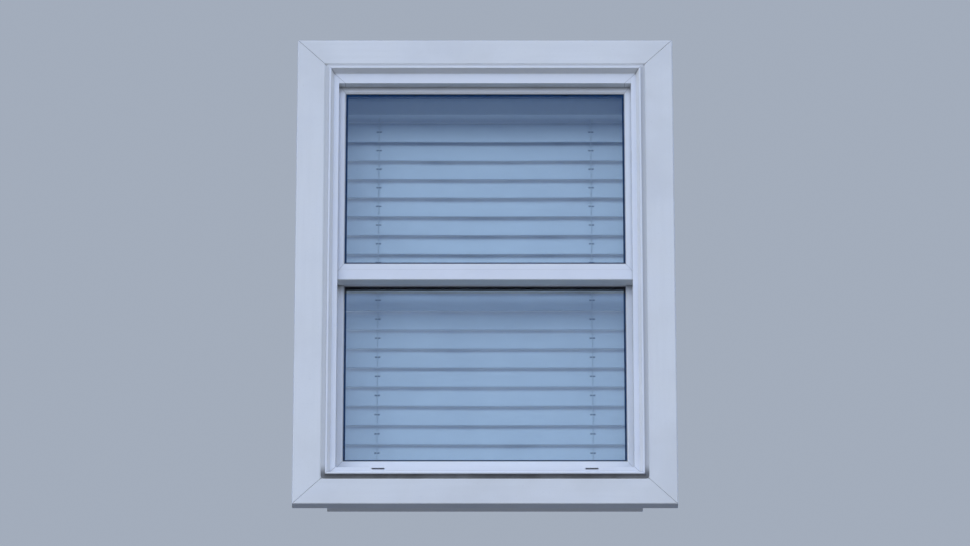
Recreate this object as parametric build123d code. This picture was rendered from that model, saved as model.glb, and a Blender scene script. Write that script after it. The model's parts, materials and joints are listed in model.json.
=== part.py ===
from build123d import *
import math
import os

# White double-hung window with its flat casing, lined to the room and fitted with a slatted blind.
# X points right as seen from outside, Y into the room and Z up. All sizes are in millimetres.
# The origin is the middle of the frame's bottom edge, on the outer face of the wall.

# Frame, welded from one extruded section
frame_width = 780.0
frame_height = 1130.0
frame_wall = 3.0
chamber_wall = 2.5
nail_fin_reach = 30.0
nail_fin_thickness = 1.5
nail_slot_length = 22.0
nail_slot_height = 4.0
nail_slot_pitch = 190.0
nail_slot_out = 20.0
frame_front_reach = 8.0
casing_overlap = 16.0
lip_reach = 30.0
lip_width = 4.0
face_reach = 16.0
face_slope_width = 8.0
stop_width = 40.0
head_stop_drop = 15.0
outer_stop_back = 4.0
parting_fin = 3.0
room_stop = 10.0
channel_lip_start = 20.0
channel_lip_end = 22.0
channel_lip_reach = 7.0
sill_rise = 1.5
sill_dam_height = 18.5
weep_slot_width = 30.0
weep_slot_height = 4.0
weep_slot_inset = 100.0

# Casing
casing_width = 76.0
casing_thickness = 24.0
casing_bevel_width = 12.0
casing_bevel_depth = 8.0
casing_arris = 1.5
casing_clearance = 0.3

# Sashes
sash_inset = 24.0
sash_thickness = 28.0
sash_clearance = 0.8
sash_wall = 3.0
stile_width = 32.0
top_rail_width = 48.0
check_rail_width = 44.0
bottom_rail_width = 41.0
glazing_shoulder = 20.0
bead_depth = 4.0
pane_thickness = 3.0
pane_gap = 10.0
glass_edge_clearance = 2.0
spacer_reveal = 5.0
spacer_width = 12.0
check_rail_bottom = 550.0
sill_gap = 1.5

# Interlock of the two meeting rails, seals and lift lip
hook_thickness = 1.2
hook_reach = 3.4
hook_height = 14.0
hook_end_clearance = 1.5
upper_hook_drop = 28.0
seal_width = 6.0
seal_groove = 4.0
seal_running_gap = 0.3
lift_lip_length = 500.0
lift_lip_reach = 17.0
lift_lip_thickness = 3.0
lift_lip_return = 6.0
lift_lip_rise = 30.0

# Tilt latches, pivot bars and coil balances
latch_length = 52.0
latch_height = 10.0
latch_width = 12.0
latch_drop = 4.0
latch_throw = 12.0
latch_travel = 10.0
latch_clearance = 0.3
latch_nose_bevel = 6.0
button_length = 16.0
button_width = 8.0
button_recess = 0.5
button_inset = 34.0
button_grip_depth = 1.0
shoe_height = 56.0
shoe_lift = 5.0
shoe_depth = 15.2
shoe_back_gap = 1.2
shoe_side_clearance = 0.8
pivot_bar_height = 10.0
pivot_bar_thickness = 4.0
pivot_bar_length = 60.0
pivot_bar_reach = 10.0
pivot_bar_rise = 12.0
pivot_clearance = 0.3
coil_radius = 7.4
coil_bore = 3.5
coil_width = 14.0
coil_rise = 36.0
coil_clearance = 0.4
strip_thickness = 0.4
strip_gap = 0.3
anchor_height = 20.0
anchor_width = 16.0
anchor_depth = 6.0
lower_anchor_below_rail = 20.0
upper_anchor_below_top = 68.0

# Sash lock
lock_length = 60.0
lock_depth = 26.0
lock_height = 11.0
lock_roof = 4.0
lock_wall = 2.4
lock_pivot_inset = 8.5
lock_shaft_radius = 3.5
lock_bore_clearance = 0.08
cam_reach = 18.0
cam_hub_radius = 6.5
cam_thickness = 4.0
cam_lift = 1.2
cam_tip_width = 9.0
lever_length = 30.0
lever_hub_radius = 8.0
lever_thickness = 4.5
lever_gap = 0.3
lock_open_lever_angle = 165.0
lock_turn = 135.0
keeper_length = 44.0
keeper_depth = 7.0
keeper_height = 10.5
keeper_plate = 1.6
keeper_wall = 1.4
screw_head_radius = 3.2
screw_head_height = 1.4
screw_place = 23.0

# Lining of the wall opening
liner_thickness = 18.0
liner_reveal = 4.0
liner_end = 172.0

# Blind
slat_width = 63.0
slat_thickness = 3.0
slat_edge = 0.8
slat_tilt = 78.0
slat_pitch = 51.2
slat_clearance = 2.0
slat_end_clearance = 7.0
blind_centre = 118.0
top_slat_edge_below_rail = 3.0
ladder_inset = 92.0
cord_thickness = 1.4
cord_edge_offset = 0.3
rung_width = 6.0
rung_thickness = 1.0
head_rail_height = 45.0
head_rail_depth = 56.0
head_rail_sheet = 1.2
head_rail_lip = 6.0
head_rail_end_clearance = 4.0
tilt_rod_radius = 3.0
tilt_rod_height = 15.0
tilt_rod_end_gap = 34.0
tilt_rod_clearance = 0.25
drum_radius = 9.0
drum_length = 16.0
drum_clearance = 0.5
cradle_wall = 3.0
cradle_depth = 30.0
cradle_height = 20.0
tilt_gear_width = 24.0
tilt_gear_front = 14.0
tilt_gear_height = 34.0
bracket_sheet = 1.5
bracket_length = 26.0
bracket_screw_spacing = 24.0
bracket_clearance = 0.3
bottom_rail_height = 16.0
bottom_rail_edge = 3.0
bottom_rail_floor_gap = 5.0
valance_height = 76.0
valance_thickness = 9.0
valance_gap = 13.0
valance_clip_width = 20.0
valance_clip_sheet = 1.6
valance_end_clearance = 1.0
valance_clip_inset = 153.0
wand_inset = 50.0
wand_offset = 8.2
wand_length = 460.0
wand_radius = 3.5
wand_socket_radius = 4.4
wand_socket_length = 20.0
wand_grip_radius = 4.4
wand_grip_length = 70.0
wand_pin_radius = 1.8
wand_pin_length = 14.0
wand_pin_clearance = 0.1
wand_top_gap = 3.0

# Places worked out from the sizes above
half_frame = frame_width / 2
track_width = sash_thickness + 2 * sash_clearance
outer_track_front = outer_stop_back
outer_track_back = outer_track_front + track_width
inner_track_front = outer_track_back + parting_fin
inner_track_back = inner_track_front + track_width
frame_back = inner_track_back + room_stop
sill_seat = stop_width + sill_rise
half_sash = half_frame - sash_inset
upper_face = outer_track_front + sash_clearance
lower_face = inner_track_front + sash_clearance
upper_bottom = check_rail_bottom
upper_top = frame_height - sash_inset
lower_bottom = sill_seat + sill_gap
lower_top = check_rail_bottom + check_rail_width
glass_thickness = 2 * pane_thickness + pane_gap
glazing_depth = bead_depth + glass_thickness
liner_inner = half_frame - stop_width + liner_reveal
liner_floor = stop_width - liner_reveal
liner_ceiling = frame_height - stop_width + liner_reveal
half_stop_gap = half_frame - stop_width
lower_anchor_bottom = check_rail_bottom - lower_anchor_below_rail
half_slat = liner_inner - slat_end_clearance
half_head_rail = liner_inner - head_rail_end_clearance
half_valance = liner_inner - valance_end_clearance
ladder_place = half_slat - ladder_inset
valance_clip_place = half_valance - valance_clip_inset
wand_place = wand_inset - half_head_rail

nodes = {}


def polygon_face(points, holes=()):
    """Flat face from corner points in space, with any holes given the same way."""
    return Face(Wire.make_polygon(points), [Wire.make_polygon(hole) for hole in holes])


def block(low, high):
    """Rectangular block from its lowest to its highest corner."""
    size = [high[i] - low[i] for i in range(3)]
    return Pos(*low) * Box(*size, align=(Align.MIN, Align.MIN, Align.MIN))


def bar_along_x(profile, start, end):
    """Bar of a (y, z) section from x = start to x = end."""
    face = polygon_face([(start, y, z) for y, z in profile])
    return Solid.extrude(face, (end - start, 0, 0))


def mirrored(solid):
    """The same piece on the other side of the window's middle."""
    return mirror(solid, about=Plane.YZ)


def mitre_plane(corner, run, towards):
    """Upright cutting plane through a ring's corner, facing the member that it keeps."""
    normal = Vector(-run[1], 0, run[0])
    if normal.dot(Vector(towards[0], 0, towards[1])) < 0:
        normal = -normal
    return Plane(origin=(corner[0], 0, corner[1]), z_dir=normal)


def ring(half, bottom, top, sections, widths, over=0.0):
    """Four mitred members round a rectangle.

    sections gives (outline, holes) in (w, y) for left, right, head and sill, where w is
    measured inwards from the rectangle. widths gives each member's width at the mitres,
    and over is how far a section reaches outside the rectangle.
    """
    place = {
        "left": lambda w, y: (-half + w, y, bottom - over),
        "right": lambda w, y: (half - w, y, bottom - over),
        "head": lambda w, y: (-half - over, y, top - w),
        "sill": lambda w, y: (-half - over, y, bottom + w),
    }
    members = {}
    for side, (outline, holes) in sections.items():
        spot = place[side]
        face = polygon_face(
            [spot(w, y) for w, y in outline],
            [[spot(w, y) for w, y in hole] for hole in holes],
        )
        upright = side in ("left", "right")
        run = (0, 0, top - bottom + 2 * over) if upright else (2 * half + 2 * over, 0, 0)
        member = Solid.extrude(face, run)
        if upright:
            ends = [(side, "sill"), (side, "head")]
        else:
            ends = [("left", side), ("right", side)]
        for flank, rail in ends:
            inward = 1 if flank == "left" else -1
            upward = 1 if rail == "sill" else -1
            corner = (inward * -half, bottom if rail == "sill" else top)
            line = (inward * widths[flank], upward * widths[rail])
            towards = (0, upward) if upright else (inward, 0)
            member = split(member, bisect_by=mitre_plane(corner, line, towards), keep=Keep.TOP)
        members[side] = member
    return members


def frame_face_outline():
    """Weather side of every frame member: overlap, raised lip, slope and flat face."""
    lip_start = casing_overlap + casing_clearance
    return [
        (0, -frame_front_reach),
        (lip_start, -frame_front_reach),
        (lip_start, -lip_reach),
        (lip_start + lip_width, -lip_reach),
        (lip_start + lip_width + face_slope_width, -face_reach),
        (stop_width, -face_reach),
    ]


def frame_face_chamber(last_w, back):
    """Hollow behind the weather side, one chamber wall inside it."""
    lip_start = casing_overlap + casing_clearance
    slope_start = lip_start + chamber_wall
    shift = chamber_wall + 1
    return [
        (frame_wall, -frame_front_reach + chamber_wall),
        (slope_start, -frame_front_reach + chamber_wall),
        (slope_start, -lip_reach + 3 * shift),
        (slope_start + face_slope_width - 1, -face_reach + chamber_wall),
        (last_w, -face_reach + chamber_wall),
        (last_w, back),
        (frame_wall, back),
    ]


def channel(front, back):
    """One sash track, with the two lips that keep the balance shoe behind the sash."""
    inner, outer, reach = channel_lip_start, channel_lip_end, channel_lip_reach
    return [
        (stop_width, front),
        (outer, front),
        (outer, front + reach),
        (inner, front + reach),
        (inner, front),
        (frame_wall, front),
        (frame_wall, back),
        (inner, back),
        (inner, back - reach),
        (outer, back - reach),
        (outer, back),
        (stop_width, back),
    ]


def nail_fin():
    """Fin that lies on the wall behind the casing."""
    return [
        (0, 0),
        (-nail_fin_reach, 0),
        (-nail_fin_reach, -nail_fin_thickness),
        (0, -nail_fin_thickness),
    ]


def jamb_section():
    """Section of the jambs and the head: two tracks between three stops."""
    outline = frame_face_outline()
    outline += channel(outer_track_front, outer_track_back)
    outline += channel(inner_track_front, inner_track_back)
    outline += [(stop_width, frame_back), (0, frame_back)]
    outline += nail_fin()
    last_w = stop_width - chamber_wall
    room_front = inner_track_back + chamber_wall
    room_back = frame_back - chamber_wall
    holes = [
        frame_face_chamber(last_w, outer_stop_back - chamber_wall),
        [
            (frame_wall, room_front),
            (last_w, room_front),
            (last_w, room_back),
            (frame_wall, room_back),
        ],
    ]
    return outline, holes


def sill_section():
    """Section of the sill: the same weather side, then a top that falls outwards."""
    outline = frame_face_outline()
    outline += [
        (sill_seat, inner_track_front),
        (sill_seat, frame_back),
        (0, frame_back),
    ]
    outline += nail_fin()
    holes = [
        frame_face_chamber(stop_width - chamber_wall, outer_track_back),
        [
            (frame_wall, inner_track_front + chamber_wall),
            (sill_seat - frame_wall, inner_track_front + chamber_wall),
            (sill_seat - frame_wall, frame_back - chamber_wall),
            (frame_wall, frame_back - chamber_wall),
        ],
    ]
    return outline, holes


def slot_places(length):
    """Places of the nail slots along a member, spread evenly about its middle."""
    count = int(length / nail_slot_pitch)
    return [(k - (count - 1) / 2) * nail_slot_pitch for k in range(count)]


def cut_nail_slots(members):
    """Slots through the nail fin of every member."""
    half_length, half_height = nail_slot_length / 2, nail_slot_height / 2
    back, front = 1, -nail_fin_thickness - 1
    for side, x in (("left", -half_frame - nail_slot_out), ("right", half_frame + nail_slot_out)):
        members[side] -= [
            block(
                (x - half_height, front, frame_height / 2 + along - half_length),
                (x + half_height, back, frame_height / 2 + along + half_length),
            )
            for along in slot_places(frame_height)
        ]
    for side, z in (("head", frame_height + nail_slot_out), ("sill", -nail_slot_out)):
        members[side] -= [
            block((x - half_length, front, z - half_height), (x + half_length, back, z + half_height))
            for x in slot_places(frame_width)
        ]


def head_stop():
    """Hollow stop under the frame's head that covers the upper part of the top rail."""
    high = frame_height - stop_width
    low = high - head_stop_drop
    wall = chamber_wall
    stop = block((-half_stop_gap, -face_reach, low), (half_stop_gap, outer_stop_back, high))
    return stop - block(
        (-half_stop_gap + wall, -face_reach + wall, low + wall),
        (half_stop_gap - wall, outer_stop_back - wall, high - wall),
    )


def make_frame():
    """Welded frame, with the sill's inner dam, its weep slots and the head stop."""
    jamb = jamb_section()
    sections = {"left": jamb, "right": jamb, "head": jamb, "sill": sill_section()}
    widths = {side: stop_width for side in sections}
    members = ring(half_frame, 0, frame_height, sections, widths, nail_fin_reach)
    cut_nail_slots(members)
    sill = members["sill"] + block(
        (-half_stop_gap, inner_track_back, sill_seat),
        (half_stop_gap, frame_back, sill_seat + sill_dam_height),
    )
    slot_low = (stop_width + casing_overlap + lip_width + face_slope_width) / 2
    for side in (-1, 1):
        middle = side * (half_stop_gap - weep_slot_inset)
        sill -= block(
            (middle - weep_slot_width / 2, -lip_reach, slot_low),
            (middle + weep_slot_width / 2, -face_reach + 2 * chamber_wall, slot_low + weep_slot_height),
        )
    nodes["frame_sill"] = sill
    nodes["frame_head"] = members["head"] + head_stop()
    nodes["frame_jamb_left"] = members["left"]
    nodes["frame_jamb_right"] = members["right"]


def make_casing():
    """Flat boards mitred round the frame, rabbeted behind for its fin."""
    rabbet_start = casing_width - casing_overlap - nail_fin_reach - 1
    rabbet = frame_front_reach + casing_clearance
    front = casing_thickness
    outline = [
        (0, 0),
        (0, -front + casing_arris),
        (casing_arris, -front),
        (casing_width - casing_bevel_width, -front),
        (casing_width, -front + casing_bevel_depth),
        (casing_width, -rabbet),
        (rabbet_start, -rabbet),
        (rabbet_start, 0),
    ]
    outside = casing_width - casing_overlap
    sides = ("left", "right", "head", "sill")
    members = ring(
        half_frame + outside,
        -outside,
        frame_height + outside,
        {side: (outline, []) for side in sides},
        {side: casing_width for side in sides},
    )
    for side in ("left", "right", "head"):
        nodes["casing_" + side] = members[side]
    nodes["casing_bottom"] = members["sill"]


def sash_ring(bottom, top, rail_widths, outline, holes):
    """Ring of a sash: the stile's section, drawn out across each rail to its own width."""
    widths = {"left": stile_width, "right": stile_width, **rail_widths}
    sections = {}
    for side, width in widths.items():
        scale = width / stile_width
        sections[side] = (
            [(w * scale, y) for w, y in outline],
            [[(w * scale, y) for w, y in hole] for hole in holes],
        )
    return ring(half_sash, bottom, top, sections, widths)


def sash_members(face, bottom, top, rail_widths):
    """Mitred hollow stiles and rails with a glazing rabbet towards the weather."""
    back = face + sash_thickness
    leg_front = face + glazing_depth
    wall = sash_wall
    outline = [
        (0, face + 1),
        (1, face),
        (glazing_shoulder, face),
        (glazing_shoulder, leg_front),
        (stile_width, leg_front),
        (stile_width, back - 2),
        (stile_width - 2, back),
        (1, back),
        (0, back - 1),
    ]
    hole = [
        (wall, face + wall),
        (glazing_shoulder - wall, face + wall),
        (glazing_shoulder - wall, back - wall),
        (wall, back - wall),
    ]
    return sash_ring(bottom, top, rail_widths, outline, [hole])


def glazing_beads(face, bottom, top, rail_widths):
    """Bevelled beads that hold the glass from outside."""
    outline = [
        (glazing_shoulder, face),
        (stile_width - 3, face),
        (stile_width, face + bead_depth - 1),
        (stile_width, face + bead_depth),
        (glazing_shoulder, face + bead_depth),
    ]
    beads = sash_ring(bottom, top, rail_widths, outline, [])
    return Compound(children=[as_solid(bead) for bead in beads.values()])


def as_solid(shape):
    """The one solid inside a shape."""
    return shape.solids()[0]


def insulating_glass(prefix, face, bottom, top, rail_widths):
    """Two panes on a spacer, set clear of the rabbet's shoulder."""
    share = glazing_shoulder / stile_width
    half = half_sash - glazing_shoulder - glass_edge_clearance
    low = bottom + rail_widths["sill"] * share + glass_edge_clearance
    high = top - rail_widths["head"] * share - glass_edge_clearance
    outer = face + bead_depth
    inner = outer + pane_thickness + pane_gap
    for name, front in (("pane_outer", outer), ("pane_inner", inner)):
        nodes[prefix + name] = block((-half, front, low), (half, front + pane_thickness, high))
    front = outer + pane_thickness
    bore_half = half_sash - stile_width - spacer_reveal
    bore_low = bottom + rail_widths["sill"] + spacer_reveal
    bore_high = top - rail_widths["head"] - spacer_reveal
    rim = spacer_width
    nodes[prefix + "spacer"] = block(
        (-bore_half - rim, front, bore_low - rim), (bore_half + rim, inner, bore_high + rim)
    ) - block((-bore_half, front, bore_low), (bore_half, inner, bore_high))


def latch_pocket(top):
    """Room for the right-hand latch in a sash's top corner, and the slot of its button."""
    clear = latch_clearance
    middle = sash_thickness / 2
    high = top - latch_drop + clear
    low = high - latch_height - 2 * clear
    half_y = latch_width / 2 + clear
    pocket = block(
        (half_sash - latch_length - latch_travel - 1, middle - half_y, low),
        (half_sash + 1, middle + half_y, high),
    )
    button = half_sash - button_inset
    slot = block(
        (button - button_length - latch_travel - clear, middle - button_width / 2 - clear, high - 1),
        (button + clear, middle + button_width / 2 + clear, top + 1),
    )
    return pocket + slot


def tilt_latch(top):
    """Right-hand latch: a bevelled bolt with a ribbed button on top."""
    middle = sash_thickness / 2
    tip = half_sash + latch_throw
    high = top - latch_drop
    low = high - latch_height
    plan = [
        (half_sash - latch_length, middle - latch_width / 2),
        (tip, middle - latch_width / 2),
        (tip, middle + latch_width / 2 - latch_nose_bevel),
        (tip - latch_nose_bevel, middle + latch_width / 2),
        (half_sash - latch_length, middle + latch_width / 2),
    ]
    bolt = Solid.extrude(polygon_face([(x, y, low) for x, y in plan]), (0, 0, latch_height))
    button = half_sash - button_inset
    latch = bolt + block(
        (button - button_length, middle - button_width / 2, high),
        (button, middle + button_width / 2, top - button_recess),
    )
    groove_pitch = button_length / 4
    for step in range(1, 4):
        x = button - step * groove_pitch
        latch -= block(
            (x - button_grip_depth / 2, middle - button_width, top - button_recess - button_grip_depth),
            (x + button_grip_depth / 2, middle + button_width, top),
        )
    return latch


def pivot_bar_place(bottom):
    """Lowest height of the flat bar that pins a sash to its balance shoe."""
    return bottom + pivot_bar_rise


def pivot_bar(face, bottom):
    """Right-hand flat bar let into the sash's bottom corner."""
    middle = face + sash_thickness / 2
    low = pivot_bar_place(bottom)
    return block(
        (half_sash - pivot_bar_length, middle - pivot_bar_thickness / 2, low),
        (half_sash + pivot_bar_reach, middle + pivot_bar_thickness / 2, low + pivot_bar_height),
    )


def balance_shoe(face, bottom):
    """Right-hand sliding shoe: pocket for the coil above, slot for the pivot bar below."""
    middle = face + sash_thickness / 2
    outer = half_frame - frame_wall - shoe_back_gap
    low = bottom + shoe_lift
    half_y = track_width / 2 - shoe_side_clearance
    shoe = block(
        (outer - shoe_depth, middle - half_y, low),
        (outer, middle + half_y, low + shoe_height),
    )
    clear = coil_radius + coil_clearance
    half_coil = coil_width / 2 + coil_clearance
    coil_middle = (coil_axis(), middle, low + coil_rise)
    shoe -= Pos(*coil_middle) * Rot(90, 0, 0) * Cylinder(clear, 2 * half_coil)
    shoe -= block(
        (coil_axis(), middle - half_coil, coil_middle[2] - clear),
        (outer + 1, middle + half_coil, low + shoe_height + 1),
    )
    shoe -= block(
        (coil_axis() - clear, middle - half_coil, coil_middle[2]),
        (outer + 1, middle + half_coil, low + shoe_height + 1),
    )
    slot_low = pivot_bar_place(bottom)
    gap = pivot_clearance
    half_slot = pivot_bar_thickness / 2 + gap
    shoe -= block(
        (outer - shoe_depth - 1, middle - half_slot, slot_low - gap),
        (half_sash + pivot_bar_reach + gap, middle + half_slot, slot_low + pivot_bar_height + gap),
    )
    return shoe


def coil_axis():
    """Distance of the right-hand coils' axis from the window's middle."""
    return half_frame - frame_wall - strip_gap - strip_thickness - coil_radius


def balance_coil(face, bottom):
    """Right-hand wound spring in its shoe."""
    place = (coil_axis(), face + sash_thickness / 2, bottom + shoe_lift + coil_rise)
    coil = Cylinder(coil_radius, coil_width) - Cylinder(coil_bore, coil_width)
    return Pos(*place) * Rot(90, 0, 0) * coil


def balance_strip(face, bottom, anchor_bottom):
    """Right-hand flat end of the spring, up the jamb to its anchor."""
    middle = face + sash_thickness / 2
    outer = half_frame - frame_wall - strip_gap
    return block(
        (outer - strip_thickness, middle - coil_width / 2, bottom + shoe_lift + coil_rise),
        (outer, middle + coil_width / 2, anchor_bottom),
    )


def strip_anchor(face, anchor_bottom):
    """Right-hand block on the jamb that the strip is fixed to."""
    middle = face + sash_thickness / 2
    outer = half_frame - frame_wall
    plan = [
        (outer, anchor_bottom),
        (outer - anchor_depth, anchor_bottom),
        (outer - anchor_depth, anchor_bottom + anchor_height - anchor_depth / 2),
        (outer - anchor_depth / 2, anchor_bottom + anchor_height),
        (outer, anchor_bottom + anchor_height),
    ]
    front = middle - anchor_width / 2
    return Solid.extrude(polygon_face([(x, front, z) for x, z in plan]), (0, anchor_width, 0))


def pair(solid):
    """A right-hand piece and its mirror image as one group."""
    return Compound(children=[as_solid(solid), as_solid(mirrored(solid))])


def make_hardware(prefix, face, bottom, top, anchor_bottom):
    """Latches, pivot bars and balances of one sash."""
    latch = Pos(0, face, 0) * tilt_latch(top)
    shoe = balance_shoe(face, bottom)
    nodes[prefix + "tilt_latch_right"] = latch
    nodes[prefix + "tilt_latch_left"] = mirrored(latch)
    nodes[prefix + "balance_shoe_right"] = shoe
    nodes[prefix + "balance_shoe_left"] = mirrored(shoe)
    nodes[prefix + "pivot_bars"] = pair(pivot_bar(face, bottom))
    nodes[prefix + "balance_coils"] = pair(balance_coil(face, bottom))
    nodes[prefix + "balance_strips"] = pair(balance_strip(face, bottom, anchor_bottom))


def let_in_hardware(member, face, bottom, top):
    """Cut the latch pockets and pivot bars out of a sash member."""
    pocket = Pos(0, face, 0) * latch_pocket(top)
    bar = pivot_bar(face, bottom)
    for cutter in (pocket, mirrored(pocket), bar, mirrored(bar)):
        member -= cutter
    return member


def upper_hook():
    """Hook on the check rail's room side that points up."""
    back = upper_face + sash_thickness
    low = lower_top - upper_hook_drop
    tip = back + hook_reach
    return [
        (back, low),
        (tip, low),
        (tip, low + hook_height),
        (tip - hook_thickness, low + hook_height),
        (tip - hook_thickness, low + hook_thickness),
        (back, low + hook_thickness),
    ]


def lower_hook():
    """Hook on the lower sash's meeting rail that points down over the other."""
    tip = lower_face - hook_reach
    low = lower_top - hook_height
    root = lower_face + sash_wall
    return [
        (root, lower_top),
        (tip, lower_top),
        (tip, low),
        (tip + hook_thickness, low),
        (tip + hook_thickness, lower_top - hook_thickness),
        (root, lower_top - hook_thickness),
    ]


def lift_lip():
    """Finger lip along the bottom rail's room side."""
    back = lower_face + sash_thickness
    low = lower_bottom + lift_lip_rise
    thick = lift_lip_thickness
    return [
        (back, low),
        (back + lift_lip_reach - thick, low),
        (back + lift_lip_reach - thick, low - lift_lip_return),
        (back + lift_lip_reach, low - lift_lip_return),
        (back + lift_lip_reach, low + thick - 1),
        (back + lift_lip_reach - 1, low + thick),
        (back, low + thick),
    ]


def make_upper_sash():
    """Outer sash, with the check rail that carries the keeper."""
    rails = {"head": top_rail_width, "sill": check_rail_width}
    members = sash_members(upper_face, upper_bottom, upper_top, rails)
    hook_half = half_stop_gap - hook_end_clearance
    members["sill"] += bar_along_x(upper_hook(), -hook_half, hook_half)
    names = {"left": "stile_left", "right": "stile_right", "head": "top_rail", "sill": "check_rail"}
    for side, name in names.items():
        nodes["upper_" + name] = let_in_hardware(members[side], upper_face, upper_bottom, upper_top)
    nodes["upper_glazing_beads"] = glazing_beads(upper_face, upper_bottom, upper_top, rails)
    insulating_glass("upper_", upper_face, upper_bottom, upper_top, rails)
    anchor = frame_height - upper_anchor_below_top
    make_hardware("upper_", upper_face, upper_bottom, upper_top, anchor)


def make_lower_sash():
    """Inner sash, with its lift lip, sill seal and interlocking meeting rail."""
    rails = {"head": check_rail_width, "sill": bottom_rail_width}
    members = sash_members(lower_face, lower_bottom, lower_top, rails)
    hook_half = half_stop_gap - hook_end_clearance
    members["head"] += bar_along_x(lower_hook(), -hook_half, hook_half)
    members["sill"] += bar_along_x(lift_lip(), -lift_lip_length / 2, lift_lip_length / 2)
    middle = lower_face + sash_thickness / 2
    groove_half = half_sash - stile_width
    groove_top = lower_bottom + seal_groove
    members["sill"] -= block(
        (-groove_half, middle - seal_width / 2, lower_bottom),
        (groove_half, middle + seal_width / 2, groove_top),
    )
    nodes["bottom_seal"] = block(
        (-groove_half, middle - seal_width / 2, sill_seat + seal_running_gap),
        (groove_half, middle + seal_width / 2, groove_top),
    )
    names = {"left": "stile_left", "right": "stile_right", "head": "meeting_rail", "sill": "bottom_rail"}
    for side, name in names.items():
        nodes["lower_" + name] = let_in_hardware(members[side], lower_face, lower_bottom, lower_top)
    nodes["lower_glazing_beads"] = glazing_beads(lower_face, lower_bottom, lower_top, rails)
    insulating_glass("lower_", lower_face, lower_bottom, lower_top, rails)
    make_hardware("lower_", lower_face, lower_bottom, lower_top, lower_anchor_bottom)
    hook_back = lower_face - hook_reach + hook_thickness
    hook_tip = lower_top - upper_hook_drop + hook_height
    nodes["meeting_rail_seal"] = block(
        (-hook_half, hook_back, hook_tip + seal_running_gap),
        (hook_half, lower_face, lower_top - hook_thickness),
    )


def make_anchors():
    """Four anchors in the jambs' tracks."""
    upper = strip_anchor(upper_face, frame_height - upper_anchor_below_top)
    lower = strip_anchor(lower_face, lower_anchor_bottom)
    both = [upper, mirrored(upper), lower, mirrored(lower)]
    nodes["strip_anchors"] = Compound(children=[as_solid(anchor) for anchor in both])


def lock_pivot():
    """Where the lock's shaft stands on the meeting rail."""
    front = lower_face + (sash_thickness - lock_depth) / 2
    return Vector(0, front + lock_pivot_inset, lower_top)


def rounded_plan(length, depth, height, radius):
    """Upright block with rounded corners, standing on its middle."""
    plan = RectangleRounded(length, depth, radius)
    return extrude(plan, height)


def make_lock():
    """Housing with an open front, a turning cam on a shaft, and the keeper that it draws in."""
    pivot = lock_pivot()
    middle_y = lower_face + sash_thickness / 2
    housing = Pos(0, middle_y, lower_top) * rounded_plan(lock_length, lock_depth, lock_height, 6)
    housing = chamfer(housing.faces().sort_by(Axis.Z)[-1].edges(), 1.5)
    room = lock_height - lock_roof
    sweep = Pos(pivot.X, pivot.Y, lower_top + room / 2) * Cylinder(cam_reach + 1, room)
    keep_in = block(
        (-lock_length / 2 + lock_wall, middle_y - lock_depth, lower_top),
        (lock_length / 2 - lock_wall, middle_y + lock_depth / 2 - lock_wall, lower_top + room),
    )
    housing -= sweep & keep_in
    bore = lock_shaft_radius + lock_bore_clearance
    housing -= Pos(pivot.X, pivot.Y, lower_top + lock_height / 2) * Cylinder(bore, lock_height)
    heads = []
    for side in (-1, 1):
        place = Pos(side * screw_place, middle_y, lower_top + lock_height - screw_head_height)
        seat = place * Cylinder(
            screw_head_radius, screw_head_height, align=(Align.CENTER, Align.CENTER, Align.MIN)
        )
        housing -= seat
        slot = place * Pos(0, 0, screw_head_height / 2) * Box(2 * screw_head_radius, 0.8, screw_head_height)
        heads.append(as_solid(seat - Pos(0, 0, screw_head_height / 2) * slot))
    nodes["lock_housing"] = housing
    nodes["lock_screws"] = Compound(children=heads)
    nodes["lock_cam"] = lock_cam(pivot)
    nodes["lock_keeper"] = lock_keeper()


def lock_cam(pivot):
    """Cam, shaft and lever in one casting, drawn in the open position."""
    cam_angle = lock_turn - 90
    floor = lower_top + cam_lift
    roof = lower_top + lock_height
    upright = (Align.CENTER, Align.CENTER, Align.MIN)
    hub = Pos(0, 0, floor) * Cylinder(cam_hub_radius, cam_thickness, align=upright)
    arm_length = cam_reach - cam_tip_width / 2
    arm = Pos(arm_length / 2, 0, floor) * Box(arm_length, cam_tip_width, cam_thickness, align=upright)
    tip = Pos(arm_length, 0, floor) * Cylinder(cam_tip_width / 2, cam_thickness, align=upright)
    cam = Rot(0, 0, cam_angle) * (hub + arm + tip)
    shaft = Pos(0, 0, floor) * Cylinder(lock_shaft_radius, roof + lever_gap - floor, align=upright)
    lever = Pos(0, 0, roof + lever_gap) * Cylinder(lever_hub_radius, lever_thickness, align=upright)
    blade = [
        (0, -lever_hub_radius + 1),
        (lever_length - 4, -3),
        (lever_length, -1.5),
        (lever_length, 1.5),
        (lever_length - 4, 3),
        (0, lever_hub_radius - 1),
    ]
    face = polygon_face([(x, y, roof + lever_gap) for x, y in blade])
    lever += Solid.extrude(face, (0, 0, lever_thickness))
    lever = Rot(0, 0, lock_open_lever_angle) * lever
    return Pos(pivot.X, pivot.Y, 0) * (cam + shaft + lever)


def lock_keeper():
    """Hooked plate on the check rail's leg."""
    back = upper_face + sash_thickness
    front = back - keeper_depth
    base = lower_top
    top = base + keeper_height
    profile = [
        (front, base),
        (back, base),
        (back, base + 0.6),
        (front + keeper_wall, base + 0.6),
        (front + keeper_wall, top - keeper_plate),
        (back, top - keeper_plate),
        (back, top),
        (front, top),
    ]
    return bar_along_x(profile, -keeper_length / 2, keeper_length / 2)


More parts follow.
